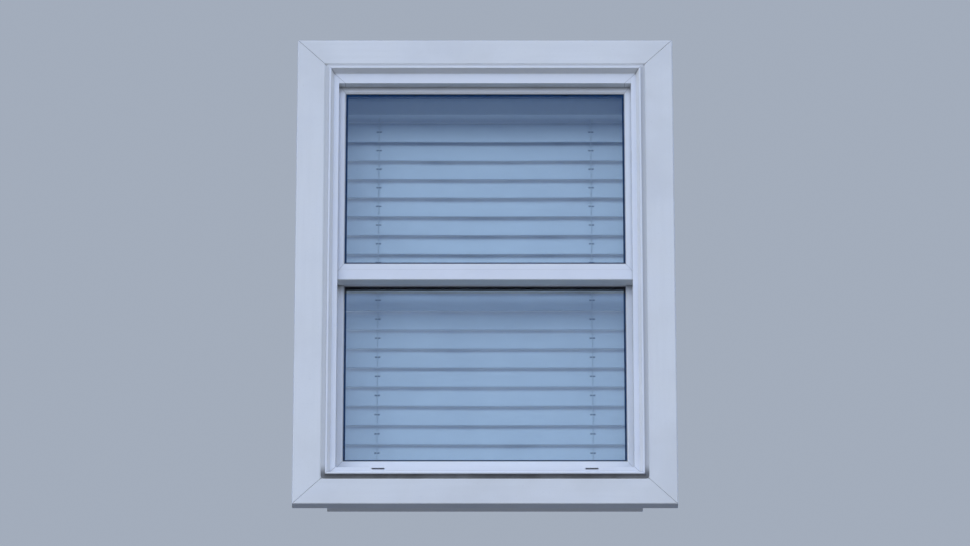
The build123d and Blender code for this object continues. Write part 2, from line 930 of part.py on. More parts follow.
def make_liner():
    """Four boards that line the wall opening on the room side of the frame."""
    start = frame_back
    back = liner_end
    outer = liner_inner + liner_thickness
    low = liner_floor - liner_thickness
    high = liner_ceiling + liner_thickness
    side = block((liner_inner, start, liner_floor), (outer, back, liner_ceiling))
    nodes["liner_right"] = side
    nodes["liner_left"] = mirrored(side)
    nodes["liner_sill"] = block((-outer, start, low), (outer, back, liner_floor))
    nodes["liner_head"] = block((-outer, start, liner_ceiling), (outer, back, high))


def head_rail_floor():
    """Height of the blind's head rail bottom."""
    return liner_ceiling - bracket_sheet - bracket_clearance - head_rail_height


def slat_section():
    """Slat in (across, up) about its middle, with its edges eased."""
    half, thick, edge = slat_width / 2, slat_thickness / 2, slat_edge
    return [
        (-half, -thick + edge),
        (-half + edge, -thick),
        (half - edge, -thick),
        (half, -thick + edge),
        (half, thick - edge),
        (half - edge, thick),
        (-half + edge, thick),
        (-half, thick - edge),
    ]


def tilted(points, y, z):
    """Points of a slat's section, turned so that its outer edge is down."""
    turn = math.radians(180 + slat_tilt)
    return [
        (y + a * math.cos(turn) - b * math.sin(turn), z + a * math.sin(turn) + b * math.cos(turn))
        for a, b in points
    ]


def slat_with_rungs(y, z):
    """One slat with the two ladder rungs that it lies on."""
    slat = bar_along_x(tilted(slat_section(), y, z), -half_slat, half_slat)
    reach = slat_width / 2 + cord_edge_offset
    under = slat_thickness / 2
    rung = [
        (-reach, under - cord_edge_offset),
        (reach, under - cord_edge_offset),
        (reach, under + rung_thickness),
        (-reach, under + rung_thickness),
    ]
    for side in (-1, 1):
        middle = side * ladder_place
        slat += bar_along_x(tilted(rung, y, z), middle - rung_width / 2, middle + rung_width / 2)
    return slat


def make_slats():
    """Slats on two ladders, with the lift cords through them."""
    rail_floor = head_rail_floor()
    rise = slat_width / 2 * math.sin(math.radians(slat_tilt))
    spread = slat_width / 2 * math.cos(math.radians(slat_tilt))
    first = rail_floor - top_slat_edge_below_rail - rise
    bottom_rail_top = liner_floor + bottom_rail_floor_gap + bottom_rail_height
    last = bottom_rail_top + slat_clearance + rise
    count = int((first - last) / slat_pitch) + 1
    pieces = [slat_with_rungs(blind_centre, first - k * slat_pitch) for k in range(count)]
    half = cord_thickness / 2
    for side in (-1, 1):
        x = side * ladder_place
        for y in (-spread - cord_edge_offset, 0, spread + cord_edge_offset):
            middle = blind_centre + y
            pieces.append(
                block((x - half, middle - half, bottom_rail_top), (x + half, middle + half, rail_floor))
            )
    nodes["blind_slats"] = pieces[0].fuse(*pieces[1:])


def make_blind_rails():
    """Steel head rail on its brackets, and the weighted bottom rail."""
    floor = head_rail_floor()
    roof = floor + head_rail_height
    front = blind_centre - head_rail_depth / 2
    back = blind_centre + head_rail_depth / 2
    sheet, lip = head_rail_sheet, head_rail_lip
    channel_outline = [
        (front, floor),
        (back, floor),
        (back, roof),
        (back - lip, roof),
        (back - lip, roof - sheet),
        (back - sheet, roof - sheet),
        (back - sheet, floor + sheet),
        (front + sheet, floor + sheet),
        (front + sheet, roof - sheet),
        (front + lip, roof - sheet),
        (front + lip, roof),
        (front, roof),
    ]
    nodes["blind_head_rail"] = bar_along_x(channel_outline, -half_head_rail, half_head_rail)
    low = liner_floor + bottom_rail_floor_gap
    high = low + bottom_rail_height
    y0, y1, edge = blind_centre - slat_width / 2, blind_centre + slat_width / 2, bottom_rail_edge
    bottom_outline = [
        (y0 + edge, low),
        (y1 - edge, low),
        (y1, low + edge),
        (y1, high - edge),
        (y1 - edge, high),
        (y0 + edge, high),
        (y0, high - edge),
        (y0, low + edge),
    ]
    nodes["blind_bottom_rail"] = bar_along_x(bottom_outline, -half_slat, half_slat)
    make_brackets(front, back, floor, roof)
    make_bracket_screws(roof)


def ladder_cradle(floor, height):
    """Open-topped cradle on the head rail's floor, in which a ladder drum turns."""
    half_drum = drum_length / 2 + drum_clearance
    half_length = half_drum + cradle_wall
    half_depth = cradle_depth / 2
    half_room = drum_radius + drum_clearance
    half_slot = tilt_rod_radius + tilt_rod_clearance
    roof = floor + cradle_height
    cradle = block(
        (ladder_place - half_length, blind_centre - half_depth, floor),
        (ladder_place + half_length, blind_centre + half_depth, roof),
    )
    cradle -= block(
        (ladder_place - half_drum, blind_centre - half_room, height - half_room),
        (ladder_place + half_drum, blind_centre + half_room, roof + 1),
    )
    cradle -= block(
        (ladder_place - half_length - 1, blind_centre - half_slot, height - half_slot),
        (ladder_place + half_length + 1, blind_centre + half_slot, roof + 1),
    )
    return as_solid(cradle)


def tilt_gear(floor, height):
    """Gear housing against the head rail's room side, bored for the rod."""
    back = blind_centre + head_rail_depth / 2 - head_rail_sheet
    gear = block(
        (wand_place - tilt_gear_width / 2, blind_centre - tilt_gear_front, floor),
        (wand_place + tilt_gear_width / 2, back, floor + tilt_gear_height),
    )
    bore = Rot(0, 90, 0) * Cylinder(tilt_rod_radius + tilt_rod_clearance, tilt_gear_width + 2)
    return as_solid(gear - Pos(wand_place, blind_centre, height) * bore)


def make_tilt_rod():
    """Tilt rod with its ladder drums, and what carries and turns it in the head rail."""
    floor = head_rail_floor() + head_rail_sheet
    height = floor + tilt_rod_height
    along_x = Rot(0, 90, 0)
    half_rod = half_head_rail - tilt_rod_end_gap
    rod = Pos(0, blind_centre, height) * along_x * Cylinder(tilt_rod_radius, 2 * half_rod)
    for side in (-1, 1):
        rod += Pos(side * ladder_place, blind_centre, height) * along_x * Cylinder(drum_radius, drum_length)
    nodes["tilt_rod"] = rod
    cradle = ladder_cradle(floor, height)
    nodes["rail_inserts"] = Compound(children=[cradle, mirrored(cradle), tilt_gear(floor, height)])


def make_bracket_screws(roof):
    """Heads of the screws that hold each bracket up under the liner's head."""
    x = half_head_rail - bracket_length / 2
    upright = (Align.CENTER, Align.CENTER, Align.MAX)
    head = Cylinder(screw_head_radius, screw_head_height, align=upright)
    nodes["bracket_screws"] = Compound(
        children=[
            Pos(side * x, blind_centre + along * bracket_screw_spacing / 2, roof + bracket_clearance) * head
            for side in (-1, 1)
            for along in (-1, 1)
        ]
    )


def make_brackets(front, back, floor, roof):
    """Box brackets screwed under the liner's head, one round each end of the head rail."""
    gap, sheet = bracket_clearance, bracket_sheet
    inner = half_head_rail - bracket_length
    outer = half_head_rail + gap
    shell = block(
        (inner, front - gap - sheet, floor - gap - sheet),
        (outer + sheet, back + gap + sheet, roof + gap + sheet),
    )
    shell -= block((inner - 1, front - gap, floor - gap), (outer, back + gap, roof + gap))
    nodes["blind_brackets"] = pair(shell)


def make_valance():
    """Moulded board in front of the head rail, with the clips that hold it."""
    back_of_rail = blind_centre + head_rail_depth / 2
    front = back_of_rail + valance_gap
    top = liner_ceiling - 1
    low = top - valance_height
    thick = valance_thickness
    outline = [
        (front, low),
        (front + thick - 3, low),
        (front + thick, low + 3),
        (front + thick, low + 8),
        (front + thick - 3, low + 11),
        (front + thick - 3, top - 13),
        (front + thick, top - 9),
        (front + thick, top - 3),
        (front + thick - 2, top),
        (front, top),
    ]
    nodes["blind_valance"] = bar_along_x(outline, -half_valance, half_valance)
    roof = head_rail_floor() + head_rail_height
    clips = []
    sheet = valance_clip_sheet
    for side in (-1, 0, 1):
        middle = side * valance_clip_place
        profile = [
            (back_of_rail, roof - head_rail_height / 2),
            (back_of_rail + sheet, roof - head_rail_height / 2),
            (back_of_rail + sheet, roof - 4 - sheet),
            (front - sheet, roof - 4 - sheet),
            (front - sheet, roof - head_rail_height / 2),
            (front, roof - head_rail_height / 2),
            (front, roof - 4),
            (back_of_rail, roof - 4),
        ]
        half_clip = valance_clip_width / 2
        clips.append(as_solid(bar_along_x(profile, middle - half_clip, middle + half_clip)))
    nodes["valance_clips"] = Compound(children=clips)


def make_wand():
    """Tilter pin under the head rail's room side, and the wand that turns on it."""
    back_of_rail = blind_centre + head_rail_depth / 2
    y = back_of_rail + wand_offset
    floor = head_rail_floor()
    upright = (Align.CENTER, Align.CENTER, Align.MIN)
    arm_height = 6.0
    arm_low = floor + wand_top_gap
    arm = block(
        (wand_place - 4, back_of_rail, arm_low), (wand_place + 4, y + 3, arm_low + arm_height)
    )
    pin = Pos(wand_place, y, arm_low - wand_pin_length) * Cylinder(
        wand_pin_radius, wand_pin_length, align=upright
    )
    nodes["blind_tilter"] = arm + pin
    top = arm_low - bracket_clearance
    socket_low = top - wand_socket_length
    socket = Pos(wand_place, y, socket_low) * Cylinder(
        wand_socket_radius, wand_socket_length, align=upright
    )
    rod_low = top - wand_length
    rod_plan = Pos(wand_place, y, rod_low) * RegularPolygon(wand_radius, 6)
    wand = socket + extrude(rod_plan, wand_length - wand_socket_length)
    wand += Pos(wand_place, y, rod_low) * Cylinder(wand_grip_radius, wand_grip_length, align=upright)
    bore_depth = wand_pin_length + 1
    wand -= Pos(wand_place, y, top - bore_depth) * Cylinder(
        wand_pin_radius + wand_pin_clearance, bore_depth, align=upright
    )
    nodes["blind_wand"] = wand


def write_parts():
    """One STEP file for each node."""
    os.makedirs("parts", exist_ok=True)
    for name, shape in nodes.items():
        export_step(shape, f"parts/{name}.step")


make_frame()
make_casing()
make_upper_sash()
make_lower_sash()
make_anchors()
make_lock()
make_liner()
make_blind_rails()
make_tilt_rod()
make_slats()
make_valance()
make_wand()
write_parts()
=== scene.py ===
"""Finishes a packed double-hung window: boards, vinyl, glass, hardware, blind and studio."""

import json
import math

import bpy
import numpy as np
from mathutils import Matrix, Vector


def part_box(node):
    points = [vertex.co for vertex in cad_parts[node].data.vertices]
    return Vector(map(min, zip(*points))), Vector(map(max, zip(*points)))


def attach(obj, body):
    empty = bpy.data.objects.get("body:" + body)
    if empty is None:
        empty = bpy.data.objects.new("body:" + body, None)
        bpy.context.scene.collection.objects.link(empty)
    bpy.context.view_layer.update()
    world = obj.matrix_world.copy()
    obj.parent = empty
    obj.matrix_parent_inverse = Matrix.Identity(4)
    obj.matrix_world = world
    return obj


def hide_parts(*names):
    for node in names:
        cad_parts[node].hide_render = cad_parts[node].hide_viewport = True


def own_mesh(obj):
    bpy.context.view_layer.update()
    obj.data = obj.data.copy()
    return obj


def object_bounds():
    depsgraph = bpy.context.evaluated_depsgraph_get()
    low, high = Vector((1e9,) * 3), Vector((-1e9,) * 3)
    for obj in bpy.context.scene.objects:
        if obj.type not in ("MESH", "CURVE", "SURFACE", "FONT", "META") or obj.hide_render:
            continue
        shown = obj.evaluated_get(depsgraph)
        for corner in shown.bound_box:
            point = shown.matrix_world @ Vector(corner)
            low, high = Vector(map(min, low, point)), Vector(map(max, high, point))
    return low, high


bl_info = {
    "name": "Double-hung window finish",
    "version": (1, 0, 0),
    "blender": (4, 5, 0),
    "location": "View3D > Sidebar > Sash Window",
    "description": "Finishes a double-hung window with its casing, sashes, lining and slatted blind",
    "category": "Object",
}

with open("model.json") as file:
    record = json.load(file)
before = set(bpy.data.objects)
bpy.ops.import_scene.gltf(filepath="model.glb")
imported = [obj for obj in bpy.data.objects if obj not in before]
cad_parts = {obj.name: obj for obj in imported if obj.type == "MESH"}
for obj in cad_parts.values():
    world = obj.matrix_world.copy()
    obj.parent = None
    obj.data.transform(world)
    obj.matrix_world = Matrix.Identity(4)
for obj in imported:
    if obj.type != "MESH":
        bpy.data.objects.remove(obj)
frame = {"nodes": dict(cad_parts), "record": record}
CAD_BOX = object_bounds()
SLOT_COLOURS = {m["slot"]: tuple(m["base_color"][:3]) for m in frame["record"]["materials"]}

FRAME_MEMBERS = ("frame_head", "frame_sill", "frame_jamb_left", "frame_jamb_right")
SASH_RAILS = {  # the rail below the glass, and the one above it
    "upper": ("upper_check_rail", "upper_top_rail"),
    "lower": ("lower_bottom_rail", "lower_meeting_rail"),
}

# Casing, sealant and lining, in metres
CORNER_RADIUS = 0.0004  # of the sealant's path, at the casing's inner corners
FRAME_LIP = -0.0262  # y where the sealant meets the frame
BEVEL_EDGE = -0.016  # y of the casing's inner edge
BEVEL_SLOPE = -8 / 12  # change of y along the casing's bevel, for each metre outwards
BEAD_HOLLOW = 0.0012  # depth of the sealant's concave face
BEAD_EDGE, BEAD_TUCK = 0.0006, 0.0004  # thickness at its thin edge, and reach into the joint
PAINT_STOP = 0.0006  # distance from the lining's bare back to where its paint ends

# Frame and sashes, in metres
DIAGONAL = math.sqrt(0.5)
WELD_START = 0.001  # how far a sash's weld line reaches in past the glass corner
GLASS_CORNER = 0.0015  # radius of the glazing lip's corners

# Blind, in metres
BLIND_TRAVEL = 0.9  # that the blind's bottom rail climbs
TOP_GAP, BOTTOM_GAP = 0.003, 0.002  # between the slats and the rails above and below them
STACK_GAP = 0.0012  # at both ends of the raised stack
TILT_SPREAD = math.radians(0.5)  # between one slat and its neighbours
LEAST_SAG, MOST_SAG = 0.0002, 0.0012  # of a slat between its ladders
CORD_SLOT = (0.0065, 0.0024)  # half length and half width of the slot that a lift cord passes
RUNG_PLACE = 0.003  # distance of a ladder's rungs from its middle

# Tilt wand: heights in metres from its end or top, and radii as shares of its full one
GRIP_HEIGHTS = np.array([0.0, 0.001, 0.004, 0.012, 0.030, 0.052, 0.066, 0.074, 0.078])
GRIP_RADII = np.array([0.30, 0.62, 0.88, 1.0, 0.97, 0.86, 0.70, 0.56, 0.50])
SOCKET_DEPTHS = np.array([0.022, 0.020, 0.016, 0.004, 0.001, 0.0])
SOCKET_RADII = np.array([0.52, 0.72, 0.80, 0.80, 0.76, 0.70])
ROD_START, ROD_END, ROD_RADIUS, ROD_RINGS = 0.076, 0.018, 0.52, 12

# Finishes
LEVEL_GRAIN, UPRIGHT_GRAIN = (0.05, 1.0, 1.0), (1.0, 1.0, 0.05)
LATEWOOD = (0.74, 0.62, 0.48)  # share of bare softwood's colour in its darker rings
# Dark grey of the glazing lips, also used to paint the slats' cord slots as painted shade.
LIP_COLOUR = (0.30, 0.31, 0.33)
STRING_COLOUR = (0.80, 0.81, 0.80)

# Studio, in metres
FACE_MIDDLE = Vector((0.0, 0.0, 0.565))
CAMERA_PLACE = Vector((0.0, -16.0, -8.135))
SKY_PANEL = (Vector((-3.5, -11.0, 6.5)), (16.0, 8.0))  # place, and width and height
ROOM_PANEL = (Vector((3.0, 10.0, 8.0)), (12.0, 8.0))
PANEL_COLOUR = (0.84, 0.92, 1.0)
FLOOR_REACH, FLOOR_RINGS, FLOOR_SIDES = 50.0, 24, 64
FLOOR_COLOURS = ((0.70, 0.72, 0.75), (0.74, 0.76, 0.79))


# Property groups: what a user would change

def colour_setting(name, description, default, most=1.0):
    """Setting for a colour."""
    return bpy.props.FloatVectorProperty(
        name=name, description=description, subtype="COLOR", size=3, min=0.0, max=most,
        default=default,
    )


def length_setting(name, description, least, most, default):
    """Setting for a length in metres."""
    return bpy.props.FloatProperty(
        name=name, description=description, subtype="DISTANCE", unit="LENGTH", min=least,
        max=most, default=default, precision=4,
    )


def share_setting(name, description, default, least=0.0, most=1.0):
    """Setting for a share of something."""
    return bpy.props.FloatProperty(
        name=name, description=description, subtype="FACTOR", min=least, max=most,
        default=default,
    )


def angle_setting(name, description, degrees):
    """Setting for an angle up to a right one."""
    return bpy.props.FloatProperty(
        name=name, description=description, subtype="ANGLE", unit="ROTATION", min=0.0,
        max=math.pi / 2, default=math.radians(degrees),
    )


def power_setting(name, description, default):
    """Setting for a light's power in watts."""
    return bpy.props.FloatProperty(
        name=name, description=description, unit="POWER", min=0.0, max=20000.0, default=default,
    )


class BoardSettings(bpy.types.PropertyGroup):
    """Finish of the casing outside and the lining inside."""

    casing_colour: colour_setting(
        "Casing colour", "Paint of the four casing boards", SLOT_COLOURS["casing_board"])
    lining_colour: colour_setting(
        "Lining colour", "Paint of the boards that line the opening",
        SLOT_COLOURS["painted_board"])
    softwood_colour: colour_setting(
        "Bare softwood", "Back of the lining boards, which the wall hides", (0.62, 0.47, 0.30))
    # This colour also paints shade: it darkens corners, creases, the slats' overlaps and the
    # sealant's bottom.
    soil_and_shade_colour: colour_setting(
        "Soil colour", "Dust and weathering in corners and joints", (0.21, 0.205, 0.195))
    # Soiling also scales the painted shade in corners and recesses.
    soiling: share_setting("Soiling", "How much weathering the outdoor faces carry", 0.30)
    # Along the bottom the bead is painted darker, as the shadow under the sill's lip.
    sealant_colour: colour_setting(
        "Sealant colour", "Sealant between casing and frame where it stays clean",
        (0.62, 0.64, 0.67))
    sealant_width: length_setting(
        "Sealant width", "Width of the tooled bead", 0.002, 0.011, 0.0098)
    board_edge: length_setting(
        "Board edge", "Width of the eased edge on each board", 0.0, 0.004, 0.0012)


class SashSettings(bpy.types.PropertyGroup):
    """Finish of the frame, the sashes and their glass."""

    vinyl_colour: colour_setting(
        "Vinyl colour", "Colour of frame and sash members", SLOT_COLOURS["vinyl"])
    vinyl_edge: length_setting(
        "Vinyl edge", "Width of the rounded edge on each extruded member", 0.0, 0.002, 0.0006)
    weld_width: length_setting(
        "Weld line", "Half width of the line at a welded corner", 0.0, 0.003, 0.0007)
    glass_tint: colour_setting(
        "Glass tint", "Colour that each pane gives to what is behind it", (0.902, 0.942, 0.966))
    lip_radius: length_setting(
        "Glazing lip", "Radius of the soft lip between bead and glass", 0.0003, 0.002, 0.0010)


class BlindSettings(bpy.types.PropertyGroup):
    """Sizes and finish of the slatted blind."""

    slat_colour: colour_setting(
        "Slat colour", "Colour of slats, valance and bottom rail", SLOT_COLOURS["blind_slat"])
    slat_width: length_setting(
        "Slat width", "Width of a slat from edge to edge", 0.02, 0.09, 0.063)
    slat_thickness: length_setting(
        "Slat thickness", "Thickness in the middle of a slat", 0.001, 0.006, 0.0028)
    slat_crown: length_setting(
        "Slat crown", "How far a slat's middle stands above its edges", 0.0, 0.004, 0.0007)
    slat_pitch: length_setting(
        "Slat pitch", "Distance from one slat to the next", 0.02, 0.08, 0.0512)
    top_tilt: angle_setting("Top slat tilt", "Angle of the highest slat, outer edge down", 75.5)
    bottom_tilt: angle_setting(
        "Bottom slat tilt", "Angle of the lowest slat, outer edge down", 78.0)
    ladder_place: length_setting(
        "Ladder place", "Distance of each ladder from the middle", 0.05, 0.4, 0.255)
    stacked_share: share_setting(
        "Stacked share", "Share of its height that a slat keeps when the blind is up", 0.28,
        least=0.05, most=0.32)
    string_radius: length_setting(
        "String radius", "Radius of ladder strings and lift cords", 0.0003, 0.002, 0.0007)


class StudioSettings(bpy.types.PropertyGroup):
    """Floor, light, backdrop and camera."""

    backdrop_colour: colour_setting(
        "Backdrop", "Plain colour behind the window", (0.365, 0.415, 0.50))
    shade_colour: colour_setting(
        "Shade light", "Colour of the light from all round", (0.745, 0.825, 0.99))
    shade_strength: bpy.props.FloatProperty(
        name="Shade strength", min=0.0, max=5.0, default=1.38,
        description="Strength of the dome's bright part, above and in front",
    )
    bounce_colour: colour_setting(
        "Bounced light", "Colour of the weak light from below", (0.125, 0.125, 0.125))
    back_share: share_setting(
        "Back share", "Light from the room side, as a share of the light in front", 0.28)
    side_lean: share_setting(
        "Side lean", "How much brighter the dome is on the left than in the middle", 0.22)
    room_colour: colour_setting(
        "Dark room", "Colour seen through the glass between the slats", (0.30, 0.345, 0.41))
    floor_bounce: colour_setting(
        "Floor bounce", "Share of light that the floor sends back up", (0.22, 0.22, 0.22))
    sky_colour: colour_setting(
        "Mirrored sky", "Colour above the horizon that glass and gloss reflect",
        (0.10, 0.56, 2.0), most=2.0)
    ground_colour: colour_setting(
        "Mirrored ground", "Colour below the horizon that glass and gloss reflect",
        (0.22, 0.25, 0.30), most=2.0)
    panel_power: power_setting("Panel power", "Power of the large soft panel in front", 380.0)
    room_power: power_setting(
        "Room panel power", "Power of the soft panel on the room side", 1500.0)
    floor_height: length_setting(
        "Floor height", "Height of the floor below the window's frame", -20.0, 0.0, -14.3)
    focal_length: bpy.props.FloatProperty(
        name="Focal length", description="Lens of the camera in millimetres",
        min=50.0, max=600.0, default=285.0,
    )


# Node wiring

class Wiring:
    """Adds nodes to one shader tree and joins them."""

    def __init__(self, tree):
        self.tree = tree

    def node(self, kind, sockets=None, **settings):
        """A new node with its settings, and with the sockets that are given filled."""
        made = self.tree.nodes.new(kind)
        for key, value in settings.items():
            setattr(made, key, value)
        self.fill(made, sockets or {})
        return made

    def fill(self, node, sockets):
        """Links sockets, given by name or number, to others, or sets their own values."""
        for key, value in sockets.items():
            if isinstance(value, bpy.types.NodeSocket):
                self.tree.links.new(value, node.inputs[key])
            else:
                node.inputs[key].default_value = value

    def maths(self, operation, *values, clamp=False):
        return self.node(
            "ShaderNodeMath", dict(enumerate(values)), operation=operation, use_clamp=clamp,
        ).outputs[0]

    def times(self, first, second):
        return self.maths("MULTIPLY", first, second)

    def plus(self, first, second):
        return self.maths("ADD", first, second)

    def vector(self, operation, sockets):
        return self.node("ShaderNodeVectorMath", sockets, operation=operation).outputs[0]

    def ramp(self, value, low, high, to_low=0.0, to_high=1.0):
        """Smooth step between two values while the given one goes from low to high."""
        return self.node(
            "ShaderNodeMapRange", dict(enumerate((value, low, high, to_low, to_high))),
            interpolation_type="SMOOTHSTEP",
        ).outputs[0]

    def noise(self, place, scale, detail=3.0, roughness=0.5):
        return self.node("ShaderNodeTexNoise", {
            "Vector": place, "Scale": scale, "Detail": detail, "Roughness": roughness,
        }).outputs["Fac"]

    def blend(self, share, first, second):
        return self.node(
            "ShaderNodeMix", {0: share, 6: first, 7: second}, data_type="RGBA",
        ).outputs[2]

    def object_place(self):
        return self.node("ShaderNodeTexCoord").outputs["Object"]

    def parts(self, place):
        return self.node("ShaderNodeSeparateXYZ", {0: place}).outputs

    def group(self, tree, **values):
        """A group's outputs. Its inputs are given in lower case, with _ for a space."""
        sockets = {key.replace("_", " ").title(): value for key, value in values.items()}
        return self.node("ShaderNodeGroup", sockets, node_tree=tree).outputs


def colour4(colour, share=1.0):
    """A colour with full cover, or a given share of it."""
    return (*(c * share for c in colour[:3]), 1.0)


def shared_group(name, inputs, outputs, wire):
    """A node group of that name, wired once. The default of a socket tells its type: one number
    is a value, three are a vector and four a colour."""
    if name in bpy.data.node_groups:
        return bpy.data.node_groups[name]
    tree = bpy.data.node_groups.new(name, "ShaderNodeTree")
    for direction, sockets in (("INPUT", inputs), ("OUTPUT", outputs)):
        for label, default in sockets.items():
            kind = "NodeSocket" + {1: "Float", 3: "Vector", 4: "Color"}[np.size(default)]
            made = tree.interface.new_socket(name=label, in_out=direction, socket_type=kind)
            made.default_value = default
    wiring = Wiring(tree)
    entry = wiring.node("NodeGroupInput").outputs
    wiring.fill(wiring.node("NodeGroupOutput"), wire(wiring, entry))
    return tree


def soil_and_corner_shade_group():
    """Cloudy soiling from two sizes of noise, and darkening where little light comes in: dirt
    together with painted shade in corners, creases and recesses.
    """

    def wire(w, entry):
        cloud = w.ramp(w.noise(entry["Place"], entry["Cloud Scale"], 4.0, 0.6), 0.42, 0.72)
        speck = w.ramp(w.noise(entry["Place"], entry["Speck Scale"], 2.0, 0.5), 0.60, 0.74)
        # Ambient occlusion finds corners and recesses; darkening them there is painted shade, mixed
        # with the dirt that gathers in them.
        closed = w.node(
            "ShaderNodeAmbientOcclusion", {"Distance": entry["Corner Reach"]}, samples=6)
        corner = w.ramp(closed.outputs["AO"], 0.35, 0.95, 1.0, 0.0)
        loose = w.plus(w.times(cloud, 0.40), w.times(speck, 0.22))
        held_soil_and_shade = w.times(corner, w.plus(w.times(cloud, 0.35), 0.65))
        mask = w.maths("ADD", w.times(loose, entry["Soiling"]),
                       w.times(held_soil_and_shade, entry["Corner Soiling"]), clamp=True)
        return {"Colour": w.blend(mask, entry["Clean"], entry["Soil"])}

    return shared_group(
        "Soil And Corner Shade",
        {"Place": (0.0, 0.0, 0.0), "Clean": colour4((1.0, 1.0, 1.0)),
         "Soil": colour4((0.2, 0.2, 0.2)), "Soiling": 0.3, "Corner Soiling": 0.3,
         "Cloud Scale": 4.0, "Speck Scale": 160.0, "Corner Reach": 0.012},
        {"Colour": colour4((1.0, 1.0, 1.0))},
        wire,
    )


def grain_group():
    """Streaks drawn out along one direction, as brush marks or wood grain under paint."""

    def wire(w, entry):
        drawn = w.vector("MULTIPLY", {0: entry["Place"], 1: entry["Squeeze"]})
        bend = w.noise(entry["Place"], 3.0, 2.0)
        streak = w.noise(drawn, entry["Fineness"], 5.0, 0.62)
        broad = w.noise(drawn, w.times(entry["Fineness"], 0.22), 3.0, 0.5)
        return {
            "Height": w.plus(w.times(streak, 0.6), w.times(broad, 0.4)),
            "Streak": w.ramp(w.plus(streak, w.times(bend, 0.3)), 0.55, 0.85),
        }

    return shared_group(
        "Drawn Grain",
        {"Place": (0.0, 0.0, 0.0), "Squeeze": (1.0, 1.0, 1.0), "Fineness": 60.0},
        {"Height": 0.0, "Streak": 0.0},
        wire,
    )


def corner_line_group():
    """Line where two members meet: |x| times Run plus z times Rise equals Offset."""

    def wire(w, entry):
        x, _, z = w.parts(entry["Place"])
        across = w.maths("ABSOLUTE", x)
        side = w.plus(w.times(across, entry["Run"]), w.times(z, entry["Rise"]))
        away = w.maths("ABSOLUTE", w.maths("SUBTRACT", side, entry["Offset"]))
        width = entry["Half Width"]
        line = w.ramp(away, w.times(width, 0.4), width, 1.0, 0.0)
        return {"Mask": w.times(line, w.maths("GREATER_THAN", across, entry["Start"]))}

    return shared_group(
        "Corner Line",
        {"Place": (0.0, 0.0, 0.0), "Run": DIAGONAL, "Rise": DIAGONAL, "Offset": 0.0,
         "Half Width": 0.0007, "Start": 0.0},
        {"Mask": 0.0},
        wire,
    )


def orange_peel_group():
    """Fine pebbling of a moulded or sprayed face, with faint rubbed patches."""

    def wire(w, entry):
        rubbed = w.noise(entry["Place"], entry["Rub Scale"], 3.0, 0.6)
        return {
            "Height": w.noise(entry["Place"], entry["Pebble Scale"], 2.0, 0.5),
            "Roughness": w.ramp(rubbed, 0.3, 0.7, entry["Smooth"], entry["Rough"]),
        }

    return shared_group(
        "Orange Peel",
        {"Place": (0.0, 0.0, 0.0), "Pebble Scale": 900.0, "Rub Scale": 25.0, "Smooth": 0.3,
         "Rough": 0.45},
        {"Height": 0.0, "Roughness": 0.4},
        wire,
    )


# Materials

def empty_material(name):
    """A material with an output, a main shader and nothing else, and its wiring."""
    material = bpy.data.materials.new(name)
    material.use_nodes = True
    material.node_tree.nodes.clear()
    w = Wiring(material.node_tree)
    shader = w.node("ShaderNodeBsdfPrincipled")
    output = w.node("ShaderNodeOutputMaterial", {"Surface": shader.outputs[0]})
    return material, w, shader, output


def bump(w, height, depth):
    """Normal of a surface with that height, which is depth metres where it is 1."""
    return w.node(
        "ShaderNodeBump", {"Strength": 1.0, "Distance": depth, "Height": height},
    ).outputs["Normal"]


def brush_marks(w, grain, paint, colour):
    """Paint that is a little darker along its brush marks."""
    return w.blend(w.times(grain["Streak"], 0.35), paint, colour4(colour, 0.93))


def soiled_line(w, colour, mask, share, soil):
    """Colour with dirt along a line."""
    return w.blend(w.times(mask, share), colour, colour4(soil))


def board_material(name, colour, settings, squeeze, soiling, corners, rough=(0.42, 0.58)):
    """Painted board: brush marks along its length, joints that gather dirt, dirt and painted shade
    in its corners and recesses, and a matt skin.
    """
    material, w, shader, _ = empty_material(name)
    place = w.object_place()
    grain = w.group(grain_group(), place=place, squeeze=squeeze, fineness=70.0)
    # Corner soiling here is dirt and painted shade, strongest in recesses such as under the frame's
    # lip.
    soil_and_shade = w.group(
        soil_and_corner_shade_group(), place=place, clean=colour4(colour),
        soil=colour4(settings.soil_and_shade_colour), soiling=soiling,
        corner_soiling=min(1.0, soiling * 2.0), cloud_scale=3.2, speck_scale=210.0,
        corner_reach=0.012,
    )
    shown = brush_marks(w, grain, soil_and_shade["Colour"], colour)
    for rise, offset in corners:
        line = w.group(
            corner_line_group(), place=place, run=1.0, rise=rise, offset=offset,
            half_width=0.0011,
        )
        shown = soiled_line(w, shown, line["Mask"], 0.40, settings.soil_and_shade_colour)
    peel = w.group(
        orange_peel_group(), place=place, pebble_scale=420.0, rub_scale=14.0, smooth=rough[0],
        rough=rough[1],
    )
    height = w.plus(grain["Height"], w.times(peel["Height"], 0.25))
    w.fill(shader, {
        "Base Color": shown, "Roughness": peel["Roughness"], "Specular IOR Level": 0.4,
        "Normal": bump(w, height, 0.0004),
    })
    return material


